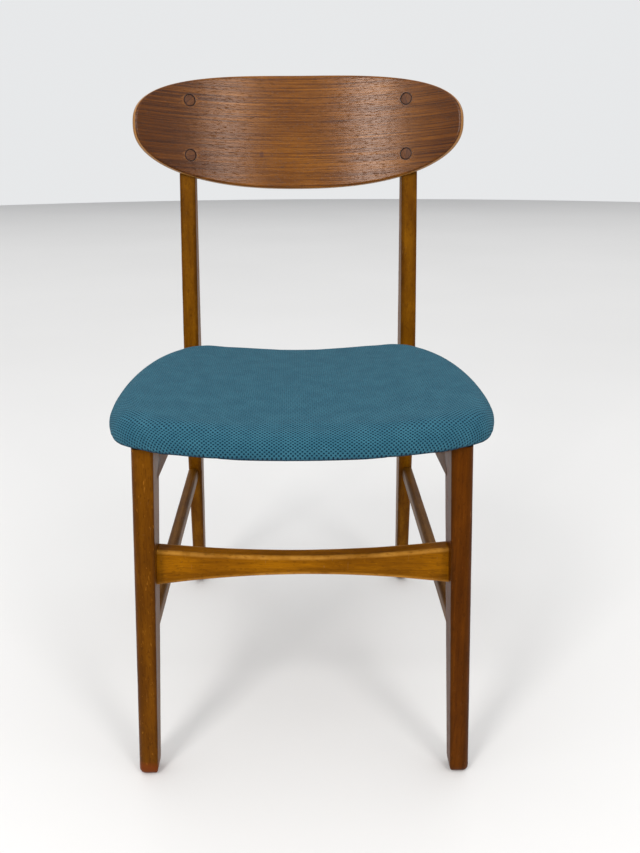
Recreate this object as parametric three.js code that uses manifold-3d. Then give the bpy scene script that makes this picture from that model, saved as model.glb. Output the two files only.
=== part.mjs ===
// Dining chair: a moulded plywood backrest on two bent rear legs, two tapered front legs, seat rails
// on dowels, stretchers on dowels and tenons, and an upholstered seat screwed on from below.
// Millimetres. +Z is up and the front of the chair faces -Y. Left and right are as seen from the front,
// so a left-hand piece has negative X. Heights are above the floor. Depths are measured back from the
// front faces of the front legs, and at the end the whole chair is centred on the origin.
import * as THREE from 'three';
import { mergeVertices } from 'three/addons/utils/BufferGeometryUtils.js';
import Module from 'manifold-3d';

const wasm = await Module();
wasm.setup();

// ---- Driving dimensions ------------------------------------------------------------------------
const GAP = 0.3;                    // clearance wherever one piece meets another
const SIDES = [-1, 1];              // left, right

// Seat
const SEAT_UNDERSIDE = 411;         // lowest face of the upholstered seat, on the centre line
const SEAT_WIDTH = 436;             // over the cover, at its widest
const SEAT_DEPTH = 404;             // over the cover, front edge to rear edge
const SEAT_OVERHANG = 28;           // how far the front edge stands ahead of the front legs
const SEAT_SADDLE_RADIUS = 2100;    // the seat is hollowed from side to side to this radius
const SEAT_THICKNESS = 29;          // cover underside to the top of the roll
const SEAT_CROWN = 2;               // extra height in the middle of the seat
const SEAT_ROLL_WIDTH = 20;         // how far in from the edge the top starts to fall away
const SEAT_ROLL_DROP = 16;          // how far it falls before the side stands upright
const SEAT_CLEARANCE = 0.5;         // seat underside to the tops of the legs and rails
const COVER_TURN = 5;               // radius of the cover's lower edge
const COVER_THICKNESS = 1.2;
const COVER_LIP = 26;               // how far the cover is turned in under the board
const BOARD_THICKNESS = 9;
const BOARD_INSET = 8;              // board edge inside the cover's outer face
const DUST_COVER_THICKNESS = 0.8;
const DUST_COVER_INSET = 12;

// Front legs
const LEG_INSET_AT_SEAT = 34.5;     // widest seat edge to the outer face of the leg's top
const FRONT_LEG_SPLAY = 16;         // how much further out each foot stands than the leg's top
const FRONT_LEG_WIDTH_TOP = 24.5;
const FRONT_LEG_WIDTH_FOOT = 23;
const FRONT_LEG_DEPTH_TOP = 45;
const FRONT_LEG_DEPTH_FOOT = 26;
const FRONT_LEG_CORNERS = [2.2, 7, 7, 2.2];  // inner front, outer front, outer rear, inner rear
const FRONT_LEG_RING_SPACING = 250;
const SHARPEST_CORNER = 0.6;        // least radius of a leg's corner under the foot's rounded edge
const FOOT_ROUNDING = 4;            // worn edge under every foot
const LEG_STOCK = 30;               // rough length above the seat's underside, trimmed off

// Rear legs, each one piece from the floor to the backrest
const REAR_LEG_BEHIND_SEAT = 4;     // seat's rear edge to the leg's front face
const REAR_LEG_X_SEAT = 158.7;
const REAR_LEG_X_FOOT = 174.5;
const REAR_LEG_X_TOP = 157.5;
const REAR_LEG_FOOT_SET_BACK = 110; // the foot's front face behind the front face at the seat
const REAR_LEG_WIDTH_TOP = 22.5;
const REAR_LEG_WIDTH_SEAT = 22;
const REAR_LEG_WIDTH_FOOT = 19;
const REAR_LEG_DEPTH_TOP = 26;
const REAR_LEG_DEPTH_SEAT = 45;
const REAR_LEG_DEPTH_FOOT = 25;
const REAR_LEG_BEND = 1.15;         // 1 is a sharp knee at the seat, 2 a long even curve
const REAR_LEG_CORNERS = [3, 5, 6, 4];
const REAR_LEG_RING_SPACING = 60;

// Backrest
const BACKREST_ABOVE_SEAT = 325;    // seat underside to the middle of the backrest
const BACKREST_BEHIND_SEAT = 84;    // seat's rear edge to the front face at the middle
const BACKREST_TILT = THREE.MathUtils.degToRad(12.5);
const BACKREST_RADIUS = 400;        // curve of the front face from side to side
const BACKREST_WIDTH = 445;
const BACKREST_HEIGHT = 158;
const BACKREST_THICKNESS = 10;
const BACKREST_SQUARENESS = 2.5;    // 2 is a plain ellipse
const BACKREST_EDGE_ROUNDING = 3.2;
const BACKREST_HOUSING = 4;         // how deep the plywood is let into each rear leg
const LEG_TOP_BELOW_BACKREST_EDGE = 16;

// Backrest fixings
const PLUG_DIAMETER = 16;
const PLUG_THICKNESS = 3.6;
const PLUG_X = 151.5;
const PLUG_UPPER_HEIGHT = 38;       // above the middle of the backrest, along its face
const PLUG_LOWER_HEIGHT = -37;
const SCREW_SHANK_DIAMETER = 4;
const SCREW_HEAD_DIAMETER = 8;
const SCREW_HEAD_THICKNESS = 2.2;
const SCREW_CLEARANCE = 0.4;        // extra width of a counterbore
const BORE_RUN_OUT = 5;             // how far a bore starts outside the wood
const BACKREST_SCREW_LENGTH = 26;
const SEAT_SCREW_LENGTH = 30;
const SEAT_SCREW_DEPTHS = [92, 300];

// Rails and stretchers
const SIDE_RAIL_HEIGHT = 42;
const SIDE_RAIL_THICKNESS = 16;
const SIDE_RAIL_LIFT = 3;           // the hollowed seat lets the side rails stand this much higher
const CROSS_RAIL_HEIGHT = 34;
const CROSS_RAIL_THICKNESS = 20;
const CROSS_RAIL_LIFT = 2;          // lower edges of the cross rails above those of the side rails
const CROSS_RAIL_SET_BACK = 94;     // front cross rail behind the front legs' front faces
const STRETCHER_THICKNESS = 20;
const STRETCHER_SET_BACK = 16;      // behind the front legs' front faces
const STRETCHER_BOTTOM = 247;       // lower edge at the legs
const STRETCHER_END_HEIGHT = 47;
const STRETCHER_MIDDLE_BOTTOM = 260.5;
const STRETCHER_MIDDLE_HEIGHT = 22.5;
const STRETCHER_ROUNDING = 2.5;
const SIDE_STRETCHER_WIDTH = 15;
const SIDE_STRETCHER_HEIGHT = 20;
const SIDE_STRETCHER_ROUNDING = 5;
const SIDE_STRETCHER_FRONT_Z = 195;
const SIDE_STRETCHER_REAR_Z = 224;
const TENON_WIDTH = 8;
const TENON_HEIGHT = 13;
const TENON_LENGTH = 13;

// Dowels
const DOWEL_DIAMETER = 8;
const DOWEL_LENGTH = 28;
const DOWEL_CHAMFER = 1;
const DOWEL_CLEARANCE = 0.2;        // extra width of a dowel's bore
const DOWEL_SPACING = 17;
const DOWEL_WALL = 2;               // wood left between dowels that meet in one leg

// ---- Worked-out places -------------------------------------------------------------------------
const SEAT_FRONT = -SEAT_OVERHANG;
const SEAT_REAR = SEAT_FRONT + SEAT_DEPTH;
const COVER_UNDERSIDE = SEAT_UNDERSIDE + DUST_COVER_THICKNESS + GAP;
const FRAME_TOP = SEAT_UNDERSIDE - SEAT_CLEARANCE;
const BACKREST_Z = SEAT_UNDERSIDE + BACKREST_ABOVE_SEAT;
const BACKREST_Y = SEAT_REAR + BACKREST_BEHIND_SEAT;
const REAR_LEG_Y_SEAT = SEAT_REAR + REAR_LEG_BEHIND_SEAT;

// ---- Materials ---------------------------------------------------------------------------------
const finish = (color, roughness, metalness = 0) =>
  new THREE.MeshStandardMaterial({ color, roughness, metalness });
const FINISHES = {
  stainedBeech: () => finish('#7a4716', 0.38),
  goldenBeech: () => finish('#a8681c', 0.36),
  rawBeech: () => finish('#c69a66', 0.7),
  teak: () => finish('#7b4226', 0.4),
  teakPlug: () => finish('#6b3a22', 0.42),
  plywood: () => finish('#b98f5f', 0.7),
  steel: () => finish('#b3aa8c', 0.35, 1),
  foam: () => finish('#e3d6ac', 0.9),
  fabric: () => finish('#2f6f86', 0.85),
  dustCover: () => finish('#26241f', 0.9),
};

// ---- Solids ------------------------------------------------------------------------------------
const point = (x, y, z) => new THREE.Vector3(x, y, z);

// A closed body from rings of equal length, laid in order. The first and last are single points.
// Each four-sided patch is split along its shorter diagonal, so parallel skins are split alike.
function closedSkin(rings) {
  const positions = [];
  const starts = [];
  for (const ring of rings) {
    starts.push(positions.length / 3);
    for (const p of ring) positions.push(p.x, p.y, p.z);
  }
  const faces = [];
  for (let k = 0; k + 1 < rings.length; k += 1) {
    const near = rings[k].length > 1;
    const far = rings[k + 1].length > 1;
    const count = Math.max(rings[k].length, rings[k + 1].length);
    for (let i = 0; i < count; i += 1) {
      const j = (i + 1) % count;
      const a = starts[k];
      const b = starts[k + 1];
      if (!near) {
        faces.push(a, b + j, b + i);
      } else if (!far) {
        faces.push(a + i, a + j, b);
      } else if (rings[k][i].distanceTo(rings[k + 1][j]) <= rings[k][j].distanceTo(rings[k + 1][i])) {
        faces.push(a + i, a + j, b + j, a + i, b + j, b + i);
      } else {
        faces.push(a + i, a + j, b + i, a + j, b + j, b + i);
      }
    }
  }
  if (signedVolume(positions, faces) < 0) faces.reverse();
  const geometry = new THREE.BufferGeometry();
  geometry.setAttribute('position', new THREE.Float32BufferAttribute(positions, 3));
  geometry.setIndex(faces);
  return toSolid(geometry);
}

function signedVolume(positions, faces) {
  const corner = (i) => new THREE.Vector3().fromArray(positions, 3 * i);
  let volume = 0;
  for (let i = 0; i < faces.length; i += 3) {
    const [a, b, c] = [corner(faces[i]), corner(faces[i + 1]), corner(faces[i + 2])];
    volume += a.dot(b.cross(c));
  }
  return volume;
}

function toSolid(geometry, matrix = new THREE.Matrix4()) {
  const bare = geometry.clone();
  bare.deleteAttribute('normal');
  bare.deleteAttribute('uv');
  const merged = mergeVertices(bare.applyMatrix4(matrix), 1e-4);
  return new wasm.Manifold(new wasm.Mesh({
    numProp: 3,
    vertProperties: new Float32Array(merged.attributes.position.array),
    triVerts: new Uint32Array(merged.index.array),
  }));
}

function toGeometry(solid) {
  const { vertProperties, triVerts } = solid.getMesh();
  const geometry = new THREE.BufferGeometry();
  geometry.setAttribute('position', new THREE.BufferAttribute(vertProperties, 3));
  geometry.setIndex(new THREE.BufferAttribute(triVerts, 1));
  geometry.computeVertexNormals();
  return geometry;
}

// The frame of reference that stands at `at`, with its own +Z along `direction` and its X level.
function facing(at, direction) {
  const z = direction.clone().normalize();
  const reference = Math.abs(z.z) > 0.9 ? point(0, 1, 0) : point(0, 0, 1);
  const x = new THREE.Vector3().crossVectors(reference, z).normalize();
  const y = new THREE.Vector3().crossVectors(z, x);
  return new THREE.Matrix4().makeBasis(x, y, z).setPosition(at);
}

// A round bore that starts at `at` and runs `length` along `direction`.
function bore(at, direction, diameter, length, segments = 12) {
  const middle = at.clone().addScaledVector(direction.clone().normalize(), length / 2);
  const cylinder = new THREE.CylinderGeometry(diameter / 2, diameter / 2, length, segments);
  return toSolid(cylinder.rotateX(Math.PI / 2), facing(middle, direction));
}

function roundedRectangle(width, height, radius) {
  const [w, h] = [width / 2, height / 2];
  const shape = new THREE.Shape();
  shape.moveTo(-w + radius, -h);
  shape.lineTo(w - radius, -h);
  shape.absarc(w - radius, -h + radius, radius, -Math.PI / 2, 0);
  shape.lineTo(w, h - radius);
  shape.absarc(w - radius, h - radius, radius, 0, Math.PI / 2);
  shape.lineTo(-w + radius, h);
  shape.absarc(-w + radius, h - radius, radius, Math.PI / 2, Math.PI);
  shape.lineTo(-w, -h + radius);
  shape.absarc(-w + radius, -h + radius, radius, Math.PI, 1.5 * Math.PI);
  return shape;
}

// A bar of rounded section from one point to another, its width level.
function bar(from, to, width, height, radius) {
  const length = from.distanceTo(to);
  const shape = roundedRectangle(width, height, radius);
  const extruded = new THREE.ExtrudeGeometry(shape, { depth: length, bevelEnabled: false, curveSegments: 2 });
  return toSolid(extruded, facing(from, to.clone().sub(from)));
}

// ---- The chair as a scene ----------------------------------------------------------------------
const chair = new THREE.Group();
const frameGroup = new THREE.Group();
const backrestGroup = new THREE.Group();
const seatGroup = new THREE.Group();
chair.add(frameGroup, backrestGroup, seatGroup);

function place(group, name, geometry, material, matrix = new THREE.Matrix4()) {
  const mesh = new THREE.Mesh(geometry, material);
  mesh.name = name;
  mesh.applyMatrix4(matrix);
  group.add(mesh);
}

const sideName = (side) => (side < 0 ? 'left' : 'right');

// ---- Legs --------------------------------------------------------------------------------------
// A level section of a leg: `inner` is the face towards the middle of the chair, `front` the front
// face, and the corners go round from inner front to outer front, outer rear and inner rear.
function legSection(side, z, inner, front, width, depth, radii) {
  const corners = [
    [inner, front, 1, 1, radii[0]],
    [inner + width, front, -1, 1, radii[1]],
    [inner + width, front + depth, -1, -1, radii[2]],
    [inner, front + depth, 1, -1, radii[3]],
  ];
  const steps = 2;
  const ring = [];
  corners.forEach(([x, y, inX, inY, radius], index) => {
    for (let i = 0; i <= steps; i += 1) {
      const turn = Math.PI + (index + i / steps) * Math.PI / 2;
      ring.push(point(
        side * (x + radius * inX + radius * Math.cos(turn)),
        y + radius * inY + radius * Math.sin(turn),
        z,
      ));
    }
  });
  return ring;
}

// Heights of the rings, with a quarter-round under the foot.
function legLevels(top, spacing) {
  const levels = [[0, FOOT_ROUNDING], [0.3 * FOOT_ROUNDING, 0.3 * FOOT_ROUNDING], [FOOT_ROUNDING, 0]];
  const count = Math.ceil((top - FOOT_ROUNDING) / spacing);
  for (let i = 1; i <= count; i += 1) levels.push([FOOT_ROUNDING + (i / count) * (top - FOOT_ROUNDING), 0]);
  return levels;
}

function legBody(side, top, spacing, grow, radii, sizeAt) {
  const rings = legLevels(top, spacing).map(([z, inset]) => {
    const { inner, front, width, depth } = sizeAt(z);
    const shrink = inset - grow;
    const corners = radii.map((radius) => Math.max(radius - inset / 2, SHARPEST_CORNER) + grow);
    return legSection(side, z, inner + shrink, front + shrink, width - 2 * shrink, depth - 2 * shrink,
      corners);
  });
  const middleOf = (ring) => ring.reduce((sum, p) => sum.add(p), point(0, 0, 0)).divideScalar(ring.length);
  return closedSkin([[middleOf(rings[0])], ...rings, [middleOf(rings[rings.length - 1])]]);
}

const LEG_TOP = SEAT_UNDERSIDE + LEG_STOCK;

function frontLegSize(z) {
  const rise = z / SEAT_UNDERSIDE;
  const width = THREE.MathUtils.lerp(FRONT_LEG_WIDTH_FOOT, FRONT_LEG_WIDTH_TOP, rise);
  const outer = SEAT_WIDTH / 2 - LEG_INSET_AT_SEAT + FRONT_LEG_SPLAY * (1 - rise);
  return {
    inner: outer - width,
    front: 0,
    width,
    depth: THREE.MathUtils.lerp(FRONT_LEG_DEPTH_FOOT, FRONT_LEG_DEPTH_TOP, rise),
  };
}

function frontLegBody(side, grow = 0) {
  return legBody(side, LEG_TOP, FRONT_LEG_RING_SPACING, grow, FRONT_LEG_CORNERS, frontLegSize);
}

// The plywood's back face where it crosses the rear leg, which sets how far the leg leans back.
const rearLegX = (t) => (t < 0
  ? THREE.MathUtils.lerp(REAR_LEG_X_SEAT, REAR_LEG_X_FOOT, -t)
  : THREE.MathUtils.lerp(REAR_LEG_X_SEAT, REAR_LEG_X_TOP, t));
const plywoodBehindLeg = backrestPoint(backrestXFor(REAR_LEG_X_TOP), 0, BACKREST_THICKNESS);
const REAR_LEG_LEAN = plywoodBehindLeg.y - BACKREST_HOUSING - REAR_LEG_Y_SEAT;
const REAR_LEG_LEAN_HEIGHT = plywoodBehindLeg.z - SEAT_UNDERSIDE;

function rearLegSize(z) {
  const above = z > SEAT_UNDERSIDE;
  const reach = above ? REAR_LEG_LEAN_HEIGHT : SEAT_UNDERSIDE;
  const share = Math.abs(z - SEAT_UNDERSIDE) / reach;
  const bend = share ** REAR_LEG_BEND;
  const endWidth = above ? REAR_LEG_WIDTH_TOP : REAR_LEG_WIDTH_FOOT;
  const endDepth = above ? REAR_LEG_DEPTH_TOP : REAR_LEG_DEPTH_FOOT;
  const width = THREE.MathUtils.lerp(REAR_LEG_WIDTH_SEAT, endWidth, share);
  return {
    inner: rearLegX(above ? share : -share) - width / 2,
    front: REAR_LEG_Y_SEAT + (above ? REAR_LEG_LEAN : REAR_LEG_FOOT_SET_BACK) * bend,
    width,
    depth: THREE.MathUtils.lerp(REAR_LEG_DEPTH_SEAT, endDepth, bend),
  };
}

const rearLegTop = backrestPoint(
  backrestXFor(REAR_LEG_X_TOP),
  backrestHalfHeight(backrestXFor(REAR_LEG_X_TOP)) - LEG_TOP_BELOW_BACKREST_EDGE,
  BACKREST_THICKNESS,
).z;

function rearLegBody(side, grow = 0) {
  return legBody(side, rearLegTop, REAR_LEG_RING_SPACING, grow, REAR_LEG_CORNERS, rearLegSize);
}

// ---- Backrest ----------------------------------------------------------------------------------
// x is across the front face, height is along the tilted face from its middle, and depth is into the
// plywood from the front face.
function backrestPoint(x, height, depth) {
  const across = Math.asin(x / BACKREST_RADIUS);
  const back = (BACKREST_RADIUS + depth) * Math.cos(across) - BACKREST_RADIUS;
  return point(
    (BACKREST_RADIUS + depth) * Math.sin(across),
    BACKREST_Y + height * Math.sin(BACKREST_TILT) + back * Math.cos(BACKREST_TILT),
    BACKREST_Z + height * Math.cos(BACKREST_TILT) - back * Math.sin(BACKREST_TILT),
  );
}

function backrestInward(x) {
  return backrestPoint(x, 0, 1).sub(backrestPoint(x, 0, 0));
}

// Where on the front face to start so that the back face lands at this X.
function backrestXFor(x) {
  return x * BACKREST_RADIUS / (BACKREST_RADIUS + BACKREST_THICKNESS);
}

function backrestHalfHeight(x) {
  const share = (2 * Math.abs(x) / BACKREST_WIDTH) ** BACKREST_SQUARENESS;
  return BACKREST_HEIGHT / 2 * (1 - share) ** (1 / BACKREST_SQUARENESS);
}

function backrestRing(inset, depth, scale = 1) {
  const count = 40;
  const power = 2 / BACKREST_SQUARENESS;
  const bowed = (value) => Math.sign(value) * Math.abs(value) ** power;
  const ring = [];
  for (let i = 0; i < count; i += 1) {
    const turn = (i / count) * 2 * Math.PI;
    ring.push(backrestPoint(
      scale * (BACKREST_WIDTH / 2 - inset) * bowed(Math.cos(turn)),
      scale * (BACKREST_HEIGHT / 2 - inset) * bowed(Math.sin(turn)),
      depth,
    ));
  }
  return ring;
}

const FACE_SCALES = [0.78, 0.52, 0.26];

// The plywood, or with other depths the space in front of the rear legs that it is let into.
function backrestBody(front, back, grow) {
  const r = BACKREST_EDGE_ROUNDING;
  const rings = [
    ...FACE_SCALES.map((scale) => backrestRing(r - grow, front, scale)).reverse(),
    backrestRing(r - grow, front),
    backrestRing(0.3 * r - grow, front + 0.3 * r),
    backrestRing(-grow, front + r),
    backrestRing(-grow, back - r),
    backrestRing(0.3 * r - grow, back - 0.3 * r),
    backrestRing(r - grow, back),
    ...FACE_SCALES.map((scale) => backrestRing(r - grow, back, scale)),
  ];
  return closedSkin([[backrestPoint(0, 0, front)], ...rings, [backrestPoint(0, 0, back)]]);
}

const HOUSING_REACH = 40;            // forwards, so that nothing of the leg is left before the plywood
const backrestSpace = backrestBody(-HOUSING_REACH, BACKREST_THICKNESS + GAP, GAP);

const screwFits = [];
for (const side of SIDES) {
  for (const [level, height] of [['upper', PLUG_UPPER_HEIGHT], ['lower', PLUG_LOWER_HEIGHT]]) {
    const inward = backrestInward(side * PLUG_X);
    const surface = backrestPoint(side * PLUG_X, height, 0);
    screwFits.push({ name: `${level}_${sideName(side)}`, surface, inward });
  }
}

const PLUG_SEGMENTS = 20;
const PLUG_RADIUS = PLUG_DIAMETER / 2 - GAP;
const COUNTERBORE_DEPTH = PLUG_THICKNESS + SCREW_HEAD_THICKNESS + 2 * GAP;
const backrestBores = screwFits.map(({ surface, inward }) => {
  const before = surface.clone().addScaledVector(inward, -BORE_RUN_OUT);
  const wide = bore(before, inward, PLUG_DIAMETER, BORE_RUN_OUT + COUNTERBORE_DEPTH, PLUG_SEGMENTS);
  const narrowLength = COUNTERBORE_DEPTH + BACKREST_SCREW_LENGTH;
  return wide.add(bore(surface, inward, SCREW_SHANK_DIAMETER + 2 * GAP, narrowLength));
}).reduce((all, one) => all.add(one));

const backrestShell = backrestBody(0, BACKREST_THICKNESS, 0).subtract(backrestBores);
place(backrestGroup, 'backrest_shell', toGeometry(backrestShell), FINISHES.teak());

// A countersunk wood screw that points along +Z, its head's face at the origin.
function screwGeometry(length) {
  const [head, shank] = [SCREW_HEAD_DIAMETER / 2, SCREW_SHANK_DIAMETER / 2];
  const profile = [
    [0, 0],
    [head, 0],
    [head, 0.35 * SCREW_HEAD_THICKNESS],
    [shank, SCREW_HEAD_THICKNESS],
    [shank, length - 2 * shank],
    [0, length],
  ];
  const points = profile.map(([radius, along]) => new THREE.Vector2(radius, along));
  return new THREE.LatheGeometry(points, 8).rotateX(Math.PI / 2);
}

for (const { name, surface, inward } of screwFits) {
  const plug = new THREE.CylinderGeometry(PLUG_RADIUS, PLUG_RADIUS, PLUG_THICKNESS, PLUG_SEGMENTS);
  const plugMiddle = surface.clone().addScaledVector(inward, PLUG_THICKNESS / 2);
  place(backrestGroup, `backrest_plug_${name}`, plug.rotateX(Math.PI / 2), FINISHES.teakPlug(),
    facing(plugMiddle, inward));
  const headFace = surface.clone().addScaledVector(inward, PLUG_THICKNESS + GAP);
  place(backrestGroup, `backrest_screw_${name}`, screwGeometry(BACKREST_SCREW_LENGTH), FINISHES.steel(),
    facing(headFace, inward));
}

// ---- Seat --------------------------------------------------------------------------------------
const saddle = (x) => x * x / (2 * SEAT_SADDLE_RADIUS);

// Right-hand half of the seat's plan, in half widths and depths, from front middle to rear middle.
function seatHalfOutline() {
  const half = SEAT_WIDTH / 2;
  const x = (share) => share * half;
  const y = (share) => SEAT_FRONT + share * SEAT_DEPTH;
  const path = new THREE.Path();
  path.moveTo(x(0), y(0));
  path.quadraticCurveTo(x(0.32), y(0), x(0.62), y(0.022));
  path.quadraticCurveTo(x(0.79), y(0.037), x(0.88), y(0.069));
  path.bezierCurveTo(x(0.986), y(0.106), x(1), y(0.243), x(1), y(0.366));
  path.bezierCurveTo(x(1), y(0.606), x(0.925), y(0.839), x(0.772), y(0.937));
  path.quadraticCurveTo(x(0.706), y(0.985), x(0.596), y(0.995));
  path.lineTo(x(0), y(1));
  return path.getSpacedPoints(18);
}

const halfOutline = seatHalfOutline();
const mirrored = halfOutline.slice(1, -1).reverse().map((p) => new THREE.Vector2(-p.x, p.y));
const SEAT_OUTLINE = [...halfOutline, ...mirrored];
const SEAT_MIDDLE = new THREE.Vector2(0, SEAT_FRONT + SEAT_DEPTH / 2);

// The outline moved in by `inset`, drawn in towards the middle by `scale`, `height` above the cover's
// underside and bent to the saddle.
function seatRing(inset, height, scale = 1) {
  return SEAT_OUTLINE.map((p, i) => {
    const before = SEAT_OUTLINE.at(i - 1);
    const after = SEAT_OUTLINE[(i + 1) % SEAT_OUTLINE.length];
    const along = after.clone().sub(before).normalize();
    const inward = new THREE.Vector2(-along.y, along.x);
    const moved = p.clone().addScaledVector(inward, inset).lerp(SEAT_MIDDLE, 1 - scale);
    return point(moved.x, moved.y, COVER_UNDERSIDE + height + saddle(moved.x));
  });
}

const seatCentre = (height) => [point(SEAT_MIDDLE.x, SEAT_MIDDLE.y, COVER_UNDERSIDE + height)];
const PLAN_SCALES = [0.66, 0.33];

// Rings of the padded form from the top middle down its side, `skin` inside the cover's outer face.
function paddedRings(skin) {
  const top = SEAT_THICKNESS - skin;
  const edge = (inset, height) => seatRing(inset + skin, height);
  const roll = SEAT_ROLL_WIDTH;
  const drop = SEAT_ROLL_DROP;
  const crown = (scale) => SEAT_CROWN * (1 - scale ** 2);
  return [
    seatCentre(top + SEAT_CROWN),
    ...PLAN_SCALES.slice().reverse().map((scale) => seatRing(roll, top + crown(scale), scale)),
    edge(roll, top),
    edge(0.4 * roll, top - 0.15 * drop),
    edge(0.1 * roll, top - 0.5 * drop),
    edge(0, top - drop),
  ];
}

// A flat layer of the seat between two heights, closed top and bottom.
function seatLayer(inset, low, high) {
  return closedSkin([
    seatCentre(low),
    ...PLAN_SCALES.slice().reverse().map((scale) => seatRing(inset, low, scale)),
    seatRing(inset, low),
    seatRing(inset, high),
    ...PLAN_SCALES.map((scale) => seatRing(inset, high, scale)),
    seatCentre(high),
  ]);
}

const BOARD_LOW = COVER_THICKNESS + GAP;
const BOARD_HIGH = BOARD_LOW + BOARD_THICKNESS;
const PAD_LOW = BOARD_HIGH + GAP;

// The cover's inner face part-way round its lower edge.
const INSIDE_TURN = 0.3 * COVER_TURN + 0.7 * COVER_THICKNESS;

const seatCover = closedSkin([
  ...paddedRings(0),
  seatRing(0, COVER_TURN),
  seatRing(0.3 * COVER_TURN, 0.3 * COVER_TURN),
  seatRing(COVER_TURN, 0),
  seatRing(COVER_LIP, 0),
  seatRing(COVER_LIP, COVER_THICKNESS),
  seatRing(COVER_TURN, COVER_THICKNESS),
  seatRing(INSIDE_TURN, INSIDE_TURN),
  seatRing(COVER_THICKNESS, COVER_TURN),
  ...paddedRings(COVER_THICKNESS).reverse(),
]);

const padSkin = COVER_THICKNESS + GAP;
const seatPad = closedSkin([
  ...paddedRings(padSkin),
  seatRing(padSkin, PAD_LOW),
  ...PLAN_SCALES.map((scale) => seatRing(padSkin, PAD_LOW, scale)),
  seatCentre(PAD_LOW),
]);

// Everything above the seat's underside, which trims the legs and rails to meet it.
function seatSpace() {
  const reach = SEAT_WIDTH;
  const steps = 48;
  const shape = new THREE.Shape();
  shape.moveTo(-reach, FRAME_TOP + 200);
  for (let i = 0; i <= steps; i += 1) {
    const x = THREE.MathUtils.lerp(-reach, reach, i / steps);
    shape.lineTo(x, FRAME_TOP + saddle(x));
  }
  shape.lineTo(reach, FRAME_TOP + 200);
  shape.closePath();
  const length = 2 * SEAT_DEPTH;
  const extruded = new THREE.ExtrudeGeometry(shape, { depth: length, bevelEnabled: false });
  extruded.rotateX(Math.PI / 2);
  extruded.translate(0, SEAT_FRONT + length * 0.9, 0);
  return toSolid(extruded);
}

const aboveFrame = seatSpace();

// ---- Rails and stretchers ----------------------------------------------------------------------
const UP = point(0, 0, 1);
const RAIL_BOTTOM = SEAT_UNDERSIDE - SIDE_RAIL_HEIGHT + SIDE_RAIL_LIFT;
const RAIL_MIDDLE = RAIL_BOTTOM + SIDE_RAIL_HEIGHT / 2;
const TRIM = 12;                       // extra length inside a leg, cut away to the leg's own face

// The side rail is flush with the front leg's inner face and with the rear leg's outer face.
const railFront = frontLegSize(RAIL_MIDDLE);
const railRear = rearLegSize(RAIL_MIDDLE);
const railAxis = {
  frontX: railFront.inner + SIDE_RAIL_THICKNESS / 2,
  frontY: railFront.depth,
  rearX: railRear.inner + railRear.width - SIDE_RAIL_THICKNESS / 2,
  rearY: railRear.front,
};
const railEnd = (side, end, z = RAIL_MIDDLE) => (end === 'front'
  ? point(side * railAxis.frontX, railAxis.frontY, z)
  : point(side * railAxis.rearX, railAxis.rearY, z));
const railDirection = (side) => railEnd(side, 'rear').sub(railEnd(side, 'front')).normalize();

function stretched(from, to, extra) {
  const direction = to.clone().sub(from).normalize();
  return [from.clone().addScaledVector(direction, -extra), to.clone().addScaledVector(direction, extra)];
}

function sideRailBody(side) {
  const [from, to] = stretched(railEnd(side, 'front'), railEnd(side, 'rear'), TRIM);
  const lift = UP.clone().multiplyScalar(TRIM / 2);
  const raw = bar(from.add(lift), to.add(lift), SIDE_RAIL_THICKNESS, SIDE_RAIL_HEIGHT + TRIM, 2);
  return raw.subtract(aboveFrame).subtract(frontLegBody(side, GAP)).subtract(rearLegBody(side, GAP));
}

// The same rail before it is trimmed, grown by the gap, which trims the front cross rail.
function sideRailSpace(side) {
  const [from, to] = stretched(railEnd(side, 'front'), railEnd(side, 'rear'), TRIM);
  return bar(from, to, SIDE_RAIL_THICKNESS + 2 * GAP, SIDE_RAIL_HEIGHT + 4 * TRIM, 1);
}

const CROSS_RAIL_BOTTOM = RAIL_BOTTOM + CROSS_RAIL_LIFT;
const CROSS_RAIL_MIDDLE = CROSS_RAIL_BOTTOM + CROSS_RAIL_HEIGHT / 2;
const crossRailY = CROSS_RAIL_SET_BACK + CROSS_RAIL_THICKNESS / 2;

function railXAt(y) {
  return THREE.MathUtils.mapLinear(y, railAxis.frontY, railAxis.rearY, railAxis.frontX, railAxis.rearX);
}

const crossRailX = railXAt(crossRailY) - SIDE_RAIL_THICKNESS / 2;
const rearRailLeg = rearLegSize(CROSS_RAIL_MIDDLE);
const rearRailY = rearRailLeg.front + (DOWEL_LENGTH + DOWEL_DIAMETER) / 2 + DOWEL_WALL;
const rearRailX = rearRailLeg.inner;

function crossBar(halfLength, y) {
  const lift = TRIM / 2;
  const from = point(-halfLength - TRIM / 2, y, CROSS_RAIL_MIDDLE + lift);
  const to = point(halfLength + TRIM / 2, y, CROSS_RAIL_MIDDLE + lift);
  return bar(from, to, CROSS_RAIL_THICKNESS, CROSS_RAIL_HEIGHT + TRIM, 2).subtract(aboveFrame);
}

// The front stretcher: deep ends, a hollowed top and an arched lower edge.
const stretcherY = STRETCHER_SET_BACK + STRETCHER_THICKNESS / 2;
const STRETCHER_CENTRE = STRETCHER_BOTTOM + STRETCHER_END_HEIGHT / 2;
const stretcherX = frontLegSize(STRETCHER_CENTRE).inner;

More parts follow.
